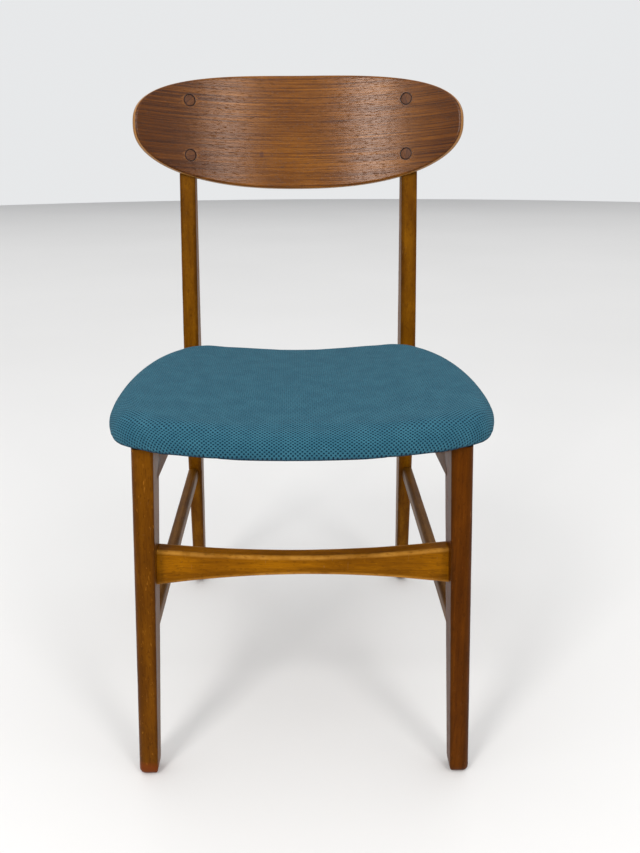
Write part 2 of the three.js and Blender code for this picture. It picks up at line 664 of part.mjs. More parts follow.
function stretcherBody() {
  const end = stretcherX + TRIM;
  const archAt = (middle) => 2 * middle;   // a quadratic's handle stands twice its rise away
  const bottomHandle = archAt(STRETCHER_MIDDLE_BOTTOM - STRETCHER_BOTTOM) + STRETCHER_BOTTOM;
  const endTop = STRETCHER_BOTTOM + STRETCHER_END_HEIGHT;
  const middleTop = STRETCHER_MIDDLE_BOTTOM + STRETCHER_MIDDLE_HEIGHT;
  const topHandle = archAt(middleTop - endTop) + endTop;
  const shape = new THREE.Shape();
  shape.moveTo(-end, STRETCHER_BOTTOM);
  shape.quadraticCurveTo(0, bottomHandle, end, STRETCHER_BOTTOM);
  shape.lineTo(end, endTop);
  shape.quadraticCurveTo(0, topHandle, -end, endTop);
  shape.closePath();
  const r = STRETCHER_ROUNDING;
  const extruded = new THREE.ExtrudeGeometry(shape, {
    depth: STRETCHER_THICKNESS - 2 * r,
    bevelThickness: r,
    bevelSize: r,
    bevelOffset: -r,
    bevelSegments: 2,
    curveSegments: 16,
  });
  extruded.rotateX(Math.PI / 2);
  extruded.translate(0, STRETCHER_SET_BACK + STRETCHER_THICKNESS - r, 0);
  return SIDES.reduce((body, side) => body.subtract(frontLegBody(side, GAP)), toSolid(extruded));
}

// The side stretchers: flush with the front leg's inner face, and centred on the rear leg.
function sideStretcherEnds(side) {
  const front = frontLegSize(SIDE_STRETCHER_FRONT_Z);
  const rear = rearLegSize(SIDE_STRETCHER_REAR_Z);
  return [
    point(side * (front.inner + SIDE_STRETCHER_WIDTH / 2), front.depth, SIDE_STRETCHER_FRONT_Z),
    point(side * (rear.inner + rear.width - SIDE_STRETCHER_WIDTH / 2), rear.front, SIDE_STRETCHER_REAR_Z),
  ];
}

// Tenons run past both shoulders. With a clearance they are the mortises.
function tenonBody(side, clearance) {
  const [from, to] = stretched(...sideStretcherEnds(side), TENON_LENGTH + clearance);
  return bar(from, to, TENON_WIDTH + 2 * clearance, TENON_HEIGHT + 2 * clearance, 2);
}

function sideStretcherBody(side) {
  const [from, to] = stretched(...sideStretcherEnds(side), TRIM);
  const between = bar(from, to, SIDE_STRETCHER_WIDTH, SIDE_STRETCHER_HEIGHT, SIDE_STRETCHER_ROUNDING);
  const shouldered = between.subtract(frontLegBody(side, GAP)).subtract(rearLegBody(side, GAP));
  return shouldered.add(tenonBody(side, 0));
}

// ---- Dowels ------------------------------------------------------------------------------------
const DOWEL_BORE = DOWEL_DIAMETER + 2 * GAP + DOWEL_CLEARANCE;
const dowelBores = [];

function dowelGeometry() {
  const r = DOWEL_DIAMETER / 2;
  const half = DOWEL_LENGTH / 2;
  const profile = [
    [0, -half],
    [r - DOWEL_CHAMFER, -half],
    [r, -half + DOWEL_CHAMFER],
    [r, half - DOWEL_CHAMFER],
    [r - DOWEL_CHAMFER, half],
    [0, half],
  ];
  const points = profile.map(([radius, along]) => new THREE.Vector2(radius, along));
  return new THREE.LatheGeometry(points, 8).rotateX(Math.PI / 2);
}

// Two dowels across a joint at `at`, spread up and down, each half in one piece and half in the other.
function addDowelPair(name, at, direction) {
  [-1, 1].forEach((level) => {
    const middle = at.clone().addScaledVector(UP, level * DOWEL_SPACING / 2);
    const start = middle.clone().addScaledVector(direction, -DOWEL_LENGTH / 2 - GAP);
    dowelBores.push(bore(start, direction, DOWEL_BORE, DOWEL_LENGTH + 2 * GAP));
    const height = level < 0 ? 'lower' : 'upper';
    const matrix = facing(middle, direction);
    place(frameGroup, `dowel_${name}_${height}`, dowelGeometry(), FINISHES.rawBeech(), matrix);
  });
}

for (const side of SIDES) {
  const hand = sideName(side);
  const across = point(side, 0, 0);
  addDowelPair(`side_rail_front_${hand}`, railEnd(side, 'front'), railDirection(side));
  addDowelPair(`side_rail_rear_${hand}`, railEnd(side, 'rear'), railDirection(side));
  addDowelPair(`cross_rail_${hand}`, point(side * crossRailX, crossRailY, CROSS_RAIL_MIDDLE), across);
  addDowelPair(`rear_rail_${hand}`, point(side * rearRailX, rearRailY, CROSS_RAIL_MIDDLE), across);
  addDowelPair(`stretcher_${hand}`, point(side * stretcherX, stretcherY, STRETCHER_CENTRE), across);
}

// ---- Seat screws -------------------------------------------------------------------------------
// Each stands in a deep counterbore in a side rail and bites into the seat board.
const seatScrews = [];
for (const side of SIDES) {
  SEAT_SCREW_DEPTHS.forEach((y, index) => {
    const x = side * railXAt(y);
    const boardMiddle = COVER_UNDERSIDE + saddle(x) + BOARD_LOW + 0.6 * BOARD_THICKNESS;
    seatScrews.push({
      name: `${index === 0 ? 'front' : 'rear'}_${sideName(side)}`,
      head: point(x, y, boardMiddle - SEAT_SCREW_LENGTH),
    });
  });
}

const screwBores = seatScrews.map(({ head }) => {
  const below = head.clone().setZ(RAIL_BOTTOM - BORE_RUN_OUT);
  const counterboreLength = head.z + SCREW_HEAD_THICKNESS + GAP - below.z;
  const counterbore = bore(below, UP, SCREW_HEAD_DIAMETER + 2 * GAP + SCREW_CLEARANCE, counterboreLength);
  const shankBore = SCREW_SHANK_DIAMETER + 2 * GAP + SCREW_CLEARANCE / 2;
  return counterbore.add(bore(head, UP, shankBore, SEAT_SCREW_LENGTH + GAP));
}).reduce((all, one) => all.add(one));

for (const { name, head } of seatScrews) {
  const screw = screwGeometry(SEAT_SCREW_LENGTH);
  place(seatGroup, `seat_screw_${name}`, screw, FINISHES.steel(), facing(head, UP));
}

// ---- Frame pieces, bored and placed ------------------------------------------------------------
const allDowelBores = dowelBores.reduce((all, one) => all.add(one));
const placeFrame = (name, solid, material) => {
  place(frameGroup, name, toGeometry(solid.subtract(allDowelBores)), material);
};

for (const side of SIDES) {
  const hand = sideName(side);
  const mortises = tenonBody(side, GAP);
  const frontLeg = frontLegBody(side).subtract(aboveFrame).subtract(mortises);
  placeFrame(`front_leg_${hand}`, frontLeg, FINISHES.stainedBeech());
  const rearLeg = rearLegBody(side).subtract(backrestSpace).subtract(mortises).subtract(backrestBores);
  placeFrame(`rear_leg_${hand}`, rearLeg, FINISHES.stainedBeech());
  placeFrame(`side_rail_${hand}`, sideRailBody(side).subtract(screwBores), FINISHES.stainedBeech());
  place(frameGroup, `side_stretcher_${hand}`, toGeometry(sideStretcherBody(side)), FINISHES.stainedBeech());
}

let frontCrossRail = crossBar(crossRailX, crossRailY);
let rearRail = crossBar(rearRailX, rearRailY);
for (const side of SIDES) {
  frontCrossRail = frontCrossRail.subtract(sideRailSpace(side));
  rearRail = rearRail.subtract(rearLegBody(side, GAP));
}
placeFrame('front_cross_rail', frontCrossRail, FINISHES.rawBeech());
placeFrame('rear_rail', rearRail, FINISHES.stainedBeech());
placeFrame('front_stretcher', stretcherBody(), FINISHES.goldenBeech());

// ---- Seat pieces, placed -----------------------------------------------------------------------
const seatBoard = seatLayer(BOARD_INSET, BOARD_LOW, BOARD_HIGH).subtract(screwBores);
const dustCover = seatLayer(DUST_COVER_INSET, -GAP - DUST_COVER_THICKNESS, -GAP).subtract(screwBores);
place(seatGroup, 'seat_board', toGeometry(seatBoard), FINISHES.plywood());
place(seatGroup, 'seat_pad', toGeometry(seatPad), FINISHES.foam());
place(seatGroup, 'seat_cover', toGeometry(seatCover), FINISHES.fabric());
place(seatGroup, 'seat_dust_cover', toGeometry(dustCover), FINISHES.dustCover());

// ---- Origin: on the floor, under the middle of the chair ----------------------------------------
const box = new THREE.Box3().setFromObject(chair);
chair.position.set(-(box.min.x + box.max.x) / 2, -(box.min.y + box.max.y) / 2, -box.min.z);

export default chair;
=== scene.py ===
# Dining chair: the finished look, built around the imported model.
# Metres. +Z is up and the front of the chair faces -Y. Left is -X, as seen from the front.
import math

import bpy
import bmesh
from mathutils import Matrix, Vector, geometry, noise


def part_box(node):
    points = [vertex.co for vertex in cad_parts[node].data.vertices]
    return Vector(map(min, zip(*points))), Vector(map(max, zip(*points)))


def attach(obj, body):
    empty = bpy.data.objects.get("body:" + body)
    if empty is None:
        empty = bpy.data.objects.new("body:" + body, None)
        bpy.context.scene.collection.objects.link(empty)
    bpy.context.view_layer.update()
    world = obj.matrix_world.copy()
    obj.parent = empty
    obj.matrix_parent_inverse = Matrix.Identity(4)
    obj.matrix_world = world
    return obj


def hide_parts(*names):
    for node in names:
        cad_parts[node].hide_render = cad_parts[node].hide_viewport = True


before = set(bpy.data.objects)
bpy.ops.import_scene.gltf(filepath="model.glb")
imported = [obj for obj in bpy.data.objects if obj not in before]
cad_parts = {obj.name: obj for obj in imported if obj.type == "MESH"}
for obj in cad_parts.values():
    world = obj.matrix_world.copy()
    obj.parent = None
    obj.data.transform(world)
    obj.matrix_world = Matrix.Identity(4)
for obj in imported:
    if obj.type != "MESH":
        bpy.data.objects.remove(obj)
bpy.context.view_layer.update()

SCENE = bpy.context.scene
SIDES = (("left", -1), ("right", 1))
X, Y, Z = 0, 1, 2
noise.seed_set(5)                   # the same unevenness in every run

# ---- Driving sizes ------------------------------------------------------------------------------
BACKREST_WIDTH = 0.445
BACKREST_HEIGHT = 0.158
BACKREST_THICKNESS = 0.010
BACKREST_RADIUS = 0.400
BACKREST_TILT = math.radians(12.5)
BACKREST_SQUARENESS = 2.5
BACKREST_EDGE = 0.0032              # rounding of the plywood's edge
PLIES = 7
PLUG_RADIUS = 0.0077
PLUG_THICKNESS = 0.0036
PLUG_CLEARANCE = 0.00035            # the bore is wider than the plug all round
SEAT_SADDLE_RADIUS = 2.1
SEAT_THICKNESS = 0.029
SEAT_CROWN = 0.0018
SEAT_WINGS = 0.0036                 # how much higher the padding stands towards the two sides
SEAT_UNDERCUT = 0.0050              # how far the cloth turns in at its lower edge
MOST_SWELL = 0.0016                 # how far the padding may push the cloth out
SEAT_ROLL = 0.024                   # how far in from the edge the top begins to fall
COVER_LIP = 0.026                   # how far the cover reaches in under the seat
COVER_THICKNESS = 0.0011
COVER_GRAIN = 0.0045                # size of the faces that the cloth is worked out on
COVER_INSET = 0.0004                # the cover's form stands this far inside the CAD cover
FOAM_INSET = 0.0052
FOAM_BOTTOM = 0.0115                # height of the foam's underside above the cover's
WEAVE_PITCH = 0.0049                # one dimple of the cloth to the next
LINING_THICKNESS = 0.0007
STAPLES = 34
FOOT_ROUNDING = 0.0078
SKIN_UNEVENNESS = 0.00012           # hand-sanded faces are never quite flat
WINDOW_TURN = math.radians(25)      # how far each window stands to the side of the sitter's view
CROSS_RAIL_EASE = 0.004             # planed off the lower edge of the front cross rail
END_MARGIN = 0.0006                 # sections keep this far inside a piece's ends
NUDGE = 0.00002                     # keeps a section off the mesh's own rows of points


# ---- Shader helpers -----------------------------------------------------------------------------
class Shades:
    """Shader nodes laid down in one tree. An input is a value, or the socket that feeds it."""

    def __init__(self, tree):
        self.tree = tree

    def fill(self, sockets, inputs):
        for key, value in inputs.items():
            if isinstance(value, bpy.types.NodeSocket):
                self.tree.links.new(value, sockets[key])
            else:
                sockets[key].default_value = value

    def node(self, kind, inputs=None, **settings):
        """Adds a node and returns its outputs."""
        made = self.tree.nodes.new("ShaderNode" + kind)
        for key, value in settings.items():
            setattr(made, key, value)
        self.fill(made.inputs, inputs or {})
        return made.outputs

    def maths(self, operation, first, second=0.0):
        return self.node("Math", {0: first, 1: second}, operation=operation)[0]

    def plus(self, first, second):
        return self.maths("ADD", first, second)

    def minus(self, first, second):
        return self.maths("SUBTRACT", first, second)

    def times(self, first, second):
        return self.maths("MULTIPLY", first, second)

    def raised(self, base, *shares):
        """A base raised by each mask times its amount."""
        for mask, amount in shares:
            base = self.plus(base, self.times(mask, amount))
        return base

    def clamped(self, value, low, high, to_low=0.0, to_high=1.0):
        """An even step from to_low, where the value is low, to to_high, where it is high."""
        ends = {"Value": value, "From Min": low, "From Max": high, "To Min": to_low, "To Max": to_high}
        return self.node("MapRange", ends, interpolation_type="SMOOTHSTEP")[0]

    def blended(self, share, first, second, kind="MIX"):
        """Two colours mixed by a share."""
        return self.node("Mix", {0: share, 6: first, 7: second}, data_type="RGBA", blend_type=kind)[2]

    def tinted(self, colour, tint):
        return self.blended(1.0, colour, tint, "MULTIPLY")

    def stretched(self, vector, factors):
        return self.node("VectorMath", {0: vector, 1: factors}, operation="MULTIPLY")[0]

    def speckle(self, vector, scale=1.0, detail=2.0, roughness=0.5):
        """Smooth noise from 0 to 1. The scale, in waves to the metre, is one number or one for each axis."""
        if not isinstance(scale, float):
            vector = self.stretched(vector, scale)
            scale = 1.0
        sockets = {"Vector": vector, "Scale": scale, "Detail": detail, "Roughness": roughness}
        return self.node("TexNoise", sockets)[0]

    def part(self, vector, axis):
        """One part of a vector, such as Z."""
        return self.node("SeparateXYZ", {0: vector})[axis]

    def place(self):
        return self.node("TexCoord")["Object"]

    def from_mesh(self, name, kind="Fac"):
        return self.node("Attribute", attribute_name=name)[kind]

    def grain(self, turn=None):
        """Where a point lies along the grain: from the mesh, or from the object's own axes, turned."""
        if turn is None:
            return self.from_mesh("grain", "Vector")
        return self.node("Mapping", {"Vector": self.place(), "Rotation": turn})[0]

    def wood(self, grain, pale, dark, streak_width, pores, contrast=1.0, sway=0.010):
        """The wood figure. sway is how far its streaks wander, in metres."""
        given = {"Grain": grain, "Pale": pale, "Dark": dark, "Streak Width": streak_width, "Pores": pores,
                 "Contrast": contrast, "Sway": sway}
        return self.node("Group", given, node_tree=WOOD_FIGURE)

    def handled(self, place, amount):
        return self.node("Group", {"Vector": place, "Amount": amount}, node_tree=HANDLED)


class Effect(Shades):
    """A node group that materials share. inputs are (label, kind, value at first)."""

    def __init__(self, name, *inputs):
        super().__init__(bpy.data.node_groups.new(name, "ShaderNodeTree"))
        for label, kind, value in inputs:
            socket = self.tree.interface.new_socket(label, in_out="INPUT", socket_type="NodeSocket" + kind)
            if value is not None:
                socket.default_value = value
        self.given = self.tree.nodes.new("NodeGroupInput").outputs

    def done(self, outputs):
        for label in outputs:
            kind = "NodeSocketColor" if label == "Color" else "NodeSocketFloat"
            self.tree.interface.new_socket(label, in_out="OUTPUT", socket_type=kind)
        self.fill(self.tree.nodes.new("NodeGroupOutput").inputs, outputs)
        return self.tree


class Finish(Shades):
    """A material, with its constants set on the shader's own sockets."""

    def __init__(self, name, **constants):
        self.material = bpy.data.materials.new(name)
        self.material.use_nodes = True
        super().__init__(self.material.node_tree)
        self.shader = self.tree.nodes["Principled BSDF"].inputs
        self.fill(self.shader, {label.replace("_", " "): value for label, value in constants.items()})

    def done(self, colour, roughness, height=None, depth=0.0, strength=1.0):
        """Feeds the shader. depth is how deep the height's marks go, in metres."""
        self.fill(self.shader, {"Base Color": colour, "Roughness": roughness})
        if height is not None:
            bump = self.node("Bump", {"Height": height, "Distance": depth, "Strength": strength})
            self.fill(self.shader, {"Normal": bump[0]})
        return self.material


# ---- Shared effects -----------------------------------------------------------------------------
def wood_figure_group():
    """Streaks, fibres and pores that run along the first axis of Grain, which is in metres."""
    s = Effect("wood_figure", ("Grain", "Vector", None), ("Pale", "Color", (0.5, 0.3, 0.1, 1)),
               ("Dark", "Color", (0.2, 0.1, 0, 1)), ("Streak Width", "Float", 1.0), ("Pores", "Float", 0.5),
               ("Contrast", "Float", 1.0), ("Sway", "Float", 0.010))
    grain = s.given["Grain"]
    sway = s.times(s.minus(s.speckle(grain, (7.0, 14.0, 14.0), 1.0), 0.5), s.given["Sway"])
    swayed = s.node("CombineXYZ", {"X": 0.0, "Y": sway, "Z": sway})[0]
    path = s.node("VectorMath", {0: grain, 1: swayed}, operation="ADD")[0]
    wide = s.maths("DIVIDE", 150.0, s.given["Streak Width"])
    streak = s.speckle(path, s.node("CombineXYZ", {"X": 3.5, "Y": wide, "Z": wide})[0], 5.0, 0.62)
    fibre = s.speckle(path, (28.0, 1100.0, 1100.0), 3.0, 0.6)
    dash = s.speckle(path, (110.0, 2100.0, 2100.0), 1.0)
    pores = s.times(s.clamped(dash, 0.58, 0.72), s.given["Pores"])
    mixed = s.plus(s.times(streak, 0.68), s.times(fibre, 0.32))
    figure = s.clamped(s.times(s.minus(mixed, 0.5), s.given["Contrast"]), -0.17, 0.17)
    shade = s.minus(1.0, s.times(pores, 0.62))
    tint = s.node("CombineColor", {0: shade, 1: shade, 2: shade})[0]
    colour = s.tinted(s.blended(figure, s.given["Dark"], s.given["Pale"]), tint)
    return s.done({"Color": colour, "Figure": figure, "Height": s.minus(s.times(fibre, 0.5), pores)})


def handled_group():
    """Rubbed patches and faint scratches, for roughness, colour and height."""
    s = Effect("handled", ("Vector", "Vector", None), ("Amount", "Float", 0.5))
    place, amount = s.given["Vector"], s.given["Amount"]
    patches = s.clamped(s.speckle(place, 22.0, 3.0, 0.6), 0.35, 0.7)
    along = s.clamped(s.speckle(place, (700.0, 90.0, 60.0)), 0.70, 0.76)
    across = s.clamped(s.speckle(place, (60.0, 700.0, 900.0)), 0.71, 0.77)
    scratches = s.times(s.times(s.maths("MAXIMUM", along, across), patches), amount)
    rubbed = s.times(s.clamped(s.speckle(place, 70.0, 4.0, 0.7), 0.5, 0.75), amount)
    return s.done({"Rubbed": rubbed, "Scratches": scratches, "Patches": patches})


def dimple_group():
    """Dimples in a staggered lattice, over a fine rib. Weave is in metres."""
    s = Effect("dimples", ("Weave", "Vector", None), ("Pitch", "Float", WEAVE_PITCH))
    weave = s.given["Weave"]
    slack, ribs_per_dimple = 0.0016, 6.0
    turns = s.maths("DIVIDE", 2 * math.pi, s.given["Pitch"])
    slip = s.times(s.minus(s.speckle(weave, 90.0), 0.5), slack)
    x, y = s.part(weave, X), s.part(weave, Y)
    across, along = (s.maths("COSINE", s.times(s.plus(way, slip), turns)) for way in (x, y))
    dimple = s.clamped(s.times(across, along), -0.05, 0.65)
    fine = s.times(turns, ribs_per_dimple)
    rising, falling = (s.maths("SINE", s.times(way, fine)) for way in (s.plus(x, y), s.minus(x, y)))
    ridge = s.plus(s.times(s.times(rising, falling), 0.08), s.times(s.speckle(weave, 1500.0, 4.0, 0.7), 0.30))
    return s.done({"Dimple": dimple, "Height": s.minus(ridge, dimple)})


WOOD_FIGURE = wood_figure_group()
HANDLED = handled_group()
DIMPLES = dimple_group()


# ---- Materials ----------------------------------------------------------------------------------
def stained_wood(name, pale, dark, arris, gloss, turn=None, streaks=1.0, contrast=1.0, nicks=0.12,
                 worn_foot=None):
    """Stained and lacquered beech, with short flecks, pale nicks and another tone along the arrises: darker
    on most pieces, and pale on the golden stretcher, where it is a painted highlight as well as wear.
    """
    s = Finish(name, Specular_IOR_Level=0.09, Specular_Tint=(1.0, 0.70, 0.30, 1))
    grain, place = s.grain(turn), s.place()
    figure = s.wood(grain, pale, dark, streaks, 0.35, contrast)
    marks = s.handled(place, 0.6)
    fleck_colour = (dark[0] * 0.5, dark[1] * 0.45, dark[2] * 0.4, 1)
    nick_colour = (pale[0] * 2.4, pale[1] * 2.8, pale[2] * 12, 1)
    # In patches along the arrises the colour goes over to the arris colour; on the golden stretcher this is a
    # painted highlight as well as wear.
    arris_patches = s.clamped(s.speckle(place, 60.0, 3.0, 0.6), 0.2, 0.7, 0.15, 0.55)
    colour = s.blended(s.times(s.from_mesh("arris"), arris_patches), figure["Color"], arris)
    fleck = s.clamped(s.speckle(grain, (160.0, 420.0, 420.0), 1.0, 0.4), 0.60, 0.70, 0.0, 0.34)
    colour = s.blended(fleck, colour, fleck_colour)
    nick = s.clamped(s.speckle(grain, (150.0, 520.0, 520.0), 1.0), 0.69, 0.75, 0.0, nicks)
    colour = s.blended(nick, colour, nick_colour)
    tone = s.clamped(s.speckle(grain, (14.0, 45.0, 45.0), 3.0, 0.6), 0.3, 0.7)
    colour = s.tinted(colour, s.blended(tone, (0.80, 0.76, 0.7, 1), (1.16, 1.18, 1.1, 1)))
    colour = s.blended(s.times(marks["Scratches"], 0.5), colour, (0.45, 0.30, 0.16, 1))
    if worn_foot:
        ragged = s.raised(s.times(s.minus(marks["Patches"], 0.5), 0.012), (marks["Rubbed"], 0.012))
        low = s.clamped(s.plus(s.part(place, Z), ragged), 0.006, 0.018, 0.70, 0.0)
        colour = s.blended(low, colour, worn_foot)
    roughness = s.raised(gloss, (marks["Rubbed"], 0.14), (figure["Figure"], 0.05))
    return s.done(colour, roughness, s.minus(figure["Height"], marks["Scratches"]), 0.00010, 0.5)


def teak_veneer():
    """Oiled teak face veneer: long straight figure, brown-black lines, open pores, plies on the edge, and
    painted shade towards both ends.
    """
    s = Finish("teak_veneer", Specular_IOR_Level=0.28, Specular_Tint=(1.0, 0.90, 0.84, 1))
    grain, place = s.grain(), s.place()
    figure = s.wood(grain, (0.265, 0.095, 0.006, 1), (0.085, 0.024, 0.002, 1), 0.36, 0.95, 1.05, sway=0.002)
    lines = s.clamped(s.speckle(grain, (3.5, 520.0, 10.0), 4.0, 0.75), 0.51, 0.63, 0.0, 0.85)
    colour = s.blended(lines, figure["Color"], (0.052, 0.015, 0.003, 1))
    tone = s.clamped(s.speckle(grain, (9.0, 14.0, 9.0)), 0.3, 0.7)
    colour = s.tinted(colour, s.blended(tone, (0.86, 0.78, 0.80, 1), (1.12, 1.08, 0.96, 1)))
    # Painted shade: the veneer darkens towards both ends of the backrest, the left end most, where the bend
    # turns it away from the light.
    off_middle = s.maths("ABSOLUTE", s.minus(s.part(grain, X), 0.02))
    tone_share = s.clamped(off_middle, 0.08, 0.23)
    colour = s.tinted(colour, s.blended(tone_share, (1, 1, 1, 1), (0.50, 0.42, 0.30, 1)))
    spots = s.node("TexVoronoi", {"Vector": s.stretched(place, (1.0, 0.3, 0.8)), "Scale": 17.0})["Distance"]
    colour = s.blended(s.clamped(spots, 0.035, 0.075, 0.55, 0.0), colour, (0.045, 0.014, 0.014, 1))
    nearest = 1.0
    for centre in PLUG_CENTRES:
        away = s.node("VectorMath", {0: place, 1: centre}, operation="DISTANCE")["Value"]
        nearest = s.maths("MINIMUM", nearest, away)
    glue = s.clamped(nearest, PLUG_RADIUS + 0.0005, PLUG_RADIUS + 0.0018, 0.95, 0.0)
    colour = s.blended(glue, colour, (0.022, 0.008, 0.005, 1))
    layer = s.maths("FRACT", s.times(s.part(grain, Z), PLIES / (2 * BACKREST_THICKNESS)))
    ply = s.blended(s.clamped(layer, 0.46, 0.54), (0.260, 0.108, 0.022, 1), (0.420, 0.200, 0.055, 1))
    fuzz = s.clamped(s.speckle(grain, (500.0, 500.0, 2500.0)), 0.5, 0.7, 0.0, 0.4)
    colour = s.blended(s.from_mesh("edge"), colour, s.blended(fuzz, ply, (0.15, 0.06, 0.02, 1)))
    roughness = s.raised(0.25, (s.handled(place, 0.5)["Rubbed"], 0.09), (figure["Height"], -0.08))
    return s.done(colour, roughness, figure["Height"], 0.00012, 0.75)


def teak_plug():
    """Cross-cut plug, a little greyer than the veneer, with a dark glue line round it."""
    s = Finish("teak_plug", Specular_IOR_Level=0.18)
    figure = s.wood(s.grain(), (0.150, 0.056, 0.018, 1), (0.055, 0.018, 0.008, 1), 0.45, 0.9, 1.2)
    colour = s.blended(s.from_mesh("arris"), figure["Color"], (0.020, 0.007, 0.005, 1))
    return s.done(colour, s.raised(0.40, (figure["Figure"], 0.08)), figure["Height"], 0.00015, 0.8)


def raw_beech(name, turn):
    """Unfinished beech, turned so that its grain runs with the piece."""
    s = Finish(name, Specular_IOR_Level=0.25)
    figure = s.wood(s.grain(turn), (0.60, 0.41, 0.24, 1), (0.44, 0.27, 0.14, 1), 1.4, 0.3)
    return s.done(figure["Color"], s.raised(0.62, (figure["Figure"], 0.12)), figure["Height"], 0.00012, 0.7)


def seat_plywood():
    """Birch plywood: face veneer above and below, layers on the edge."""
    s = Finish("seat_plywood", Specular_IOR_Level=0.25)
    layers_per_metre = 330.0
    figure = s.wood(s.grain(ALONG_Y), (0.62, 0.45, 0.27, 1), (0.46, 0.30, 0.16, 1), 3.0, 0.25)
    layer = s.maths("FRACT", s.times(s.part(s.place(), Z), layers_per_metre))
    facing_up = s.maths("ABSOLUTE", s.part(s.node("NewGeometry")["Normal"], Z))
    on_edge = s.clamped(facing_up, 0.2, 0.5, 1.0, 0.0)
    colour = s.blended(s.times(on_edge, s.clamped(layer, 0.45, 0.55, 0.0, 0.6)), figure["Color"],
                       (0.22, 0.12, 0.05, 1))
    return s.done(colour, s.raised(0.65, (figure["Figure"], 0.1)), figure["Height"], 0.0002, 0.7)


def seat_cloth():
    """Teal-blue upholstery cloth, dimpled in a staggered lattice, with painted shade in the dimples."""
    s = Finish("seat_cloth", Specular_IOR_Level=0.06, Sheen_Weight=0.07, Sheen_Roughness=0.45,
               Sheen_Tint=(0.55, 0.78, 0.90, 1))
    weave = s.from_mesh("weave", "Vector")
    cloth = s.node("Group", {"Weave": weave, "Pitch": WEAVE_PITCH}, node_tree=DIMPLES)
    nap = s.clamped(s.speckle(weave, 40.0, 3.0, 0.6), 0.3, 0.7)
    colour = s.blended(nap, (0.028, 0.118, 0.172, 1), (0.038, 0.146, 0.204, 1))
    fibre = s.clamped(s.speckle(weave, 2200.0, 3.0, 0.7), 0.52, 0.75, 0.0, 0.4)
    colour = s.blended(fibre, colour, (0.08, 0.20, 0.25, 1))
    # Painted shade in the dimples: their hollows are coloured nearly black.
    colour = s.blended(s.times(cloth["Dimple"], 0.98), colour, (0.003, 0.024, 0.044, 1))
    # Painted shade along the cover's lower edge, where the cloth turns under the seat.
    colour = s.blended(s.from_mesh("fold"), colour, (0.008, 0.020, 0.042, 1))
    return s.done(colour, s.raised(0.80, (cloth["Dimple"], 0.12)), cloth["Height"], 0.0007, 0.9)


def seat_foam():
    s = Finish("seat_foam", Specular_IOR_Level=0.1)
    place = s.place()
    cells = s.node("TexVoronoi", {"Vector": place, "Scale": 900.0})["Distance"]
    tone_share = s.clamped(s.speckle(place, 12.0, 3.0, 0.6), 0.3, 0.7)
    colour = s.blended(tone_share, (0.76, 0.63, 0.36, 1), (0.84, 0.76, 0.52, 1))
    # Painted shade in the foam's open cells.
    colour = s.blended(s.clamped(cells, 0.0, 0.35, 0.35, 0.0), colour, (0.45, 0.33, 0.16, 1))
    return s.done(colour, s.raised(0.85, (cells, 0.1)), cells, 0.0006, 0.8)


def dust_cloth():
    """Black lining cloth of a plain open weave."""
    s = Finish("dust_cloth", Specular_IOR_Level=0.15, Sheen_Weight=0.1)
    place = s.place()
    given = {"Vector": place, "Scale": 190.0, "Distortion": 0.6, "Detail Scale": 3.0}
    warp, weft = (s.node("TexWave", given, wave_type="BANDS", bands_direction=way)["Fac"] for way in "XY")
    weave = s.times(warp, weft)
    lint = s.clamped(s.speckle(place, 160.0, 4.0, 0.7), 0.62, 0.74, 0.0, 0.5)
    colour = s.blended(weave, (0.006, 0.006, 0.006, 1), (0.035, 0.034, 0.032, 1))
    colour = s.blended(lint, colour, (0.12, 0.11, 0.10, 1))
    return s.done(colour, s.raised(0.78, (weave, 0.15)), weave, 0.0003, 0.7)


def plated_steel():
    """Yellowed zinc plate with fine turning marks and dull spots."""
    s = Finish("plated_steel", Metallic=1.0)
    place = s.place()
    spots = s.clamped(s.speckle(place, 500.0, 4.0, 0.7), 0.45, 0.65)
    colour = s.blended(spots, (0.56, 0.50, 0.36, 1), (0.36, 0.31, 0.22, 1))
    return s.done(colour, s.raised(0.28, (spots, 0.25)), s.speckle(place, 2500.0), 0.00005, 0.6)


def pale_floor():
    s = Finish("pale_floor", Specular_IOR_Level=0.25)
    cloud = s.speckle(s.place(), 0.8, 3.0)
    colour = s.blended(cloud, (0.78, 0.775, 0.76, 1), (0.84, 0.835, 0.82, 1))
    return s.done(colour, s.raised(0.55, (cloud, 0.1)))


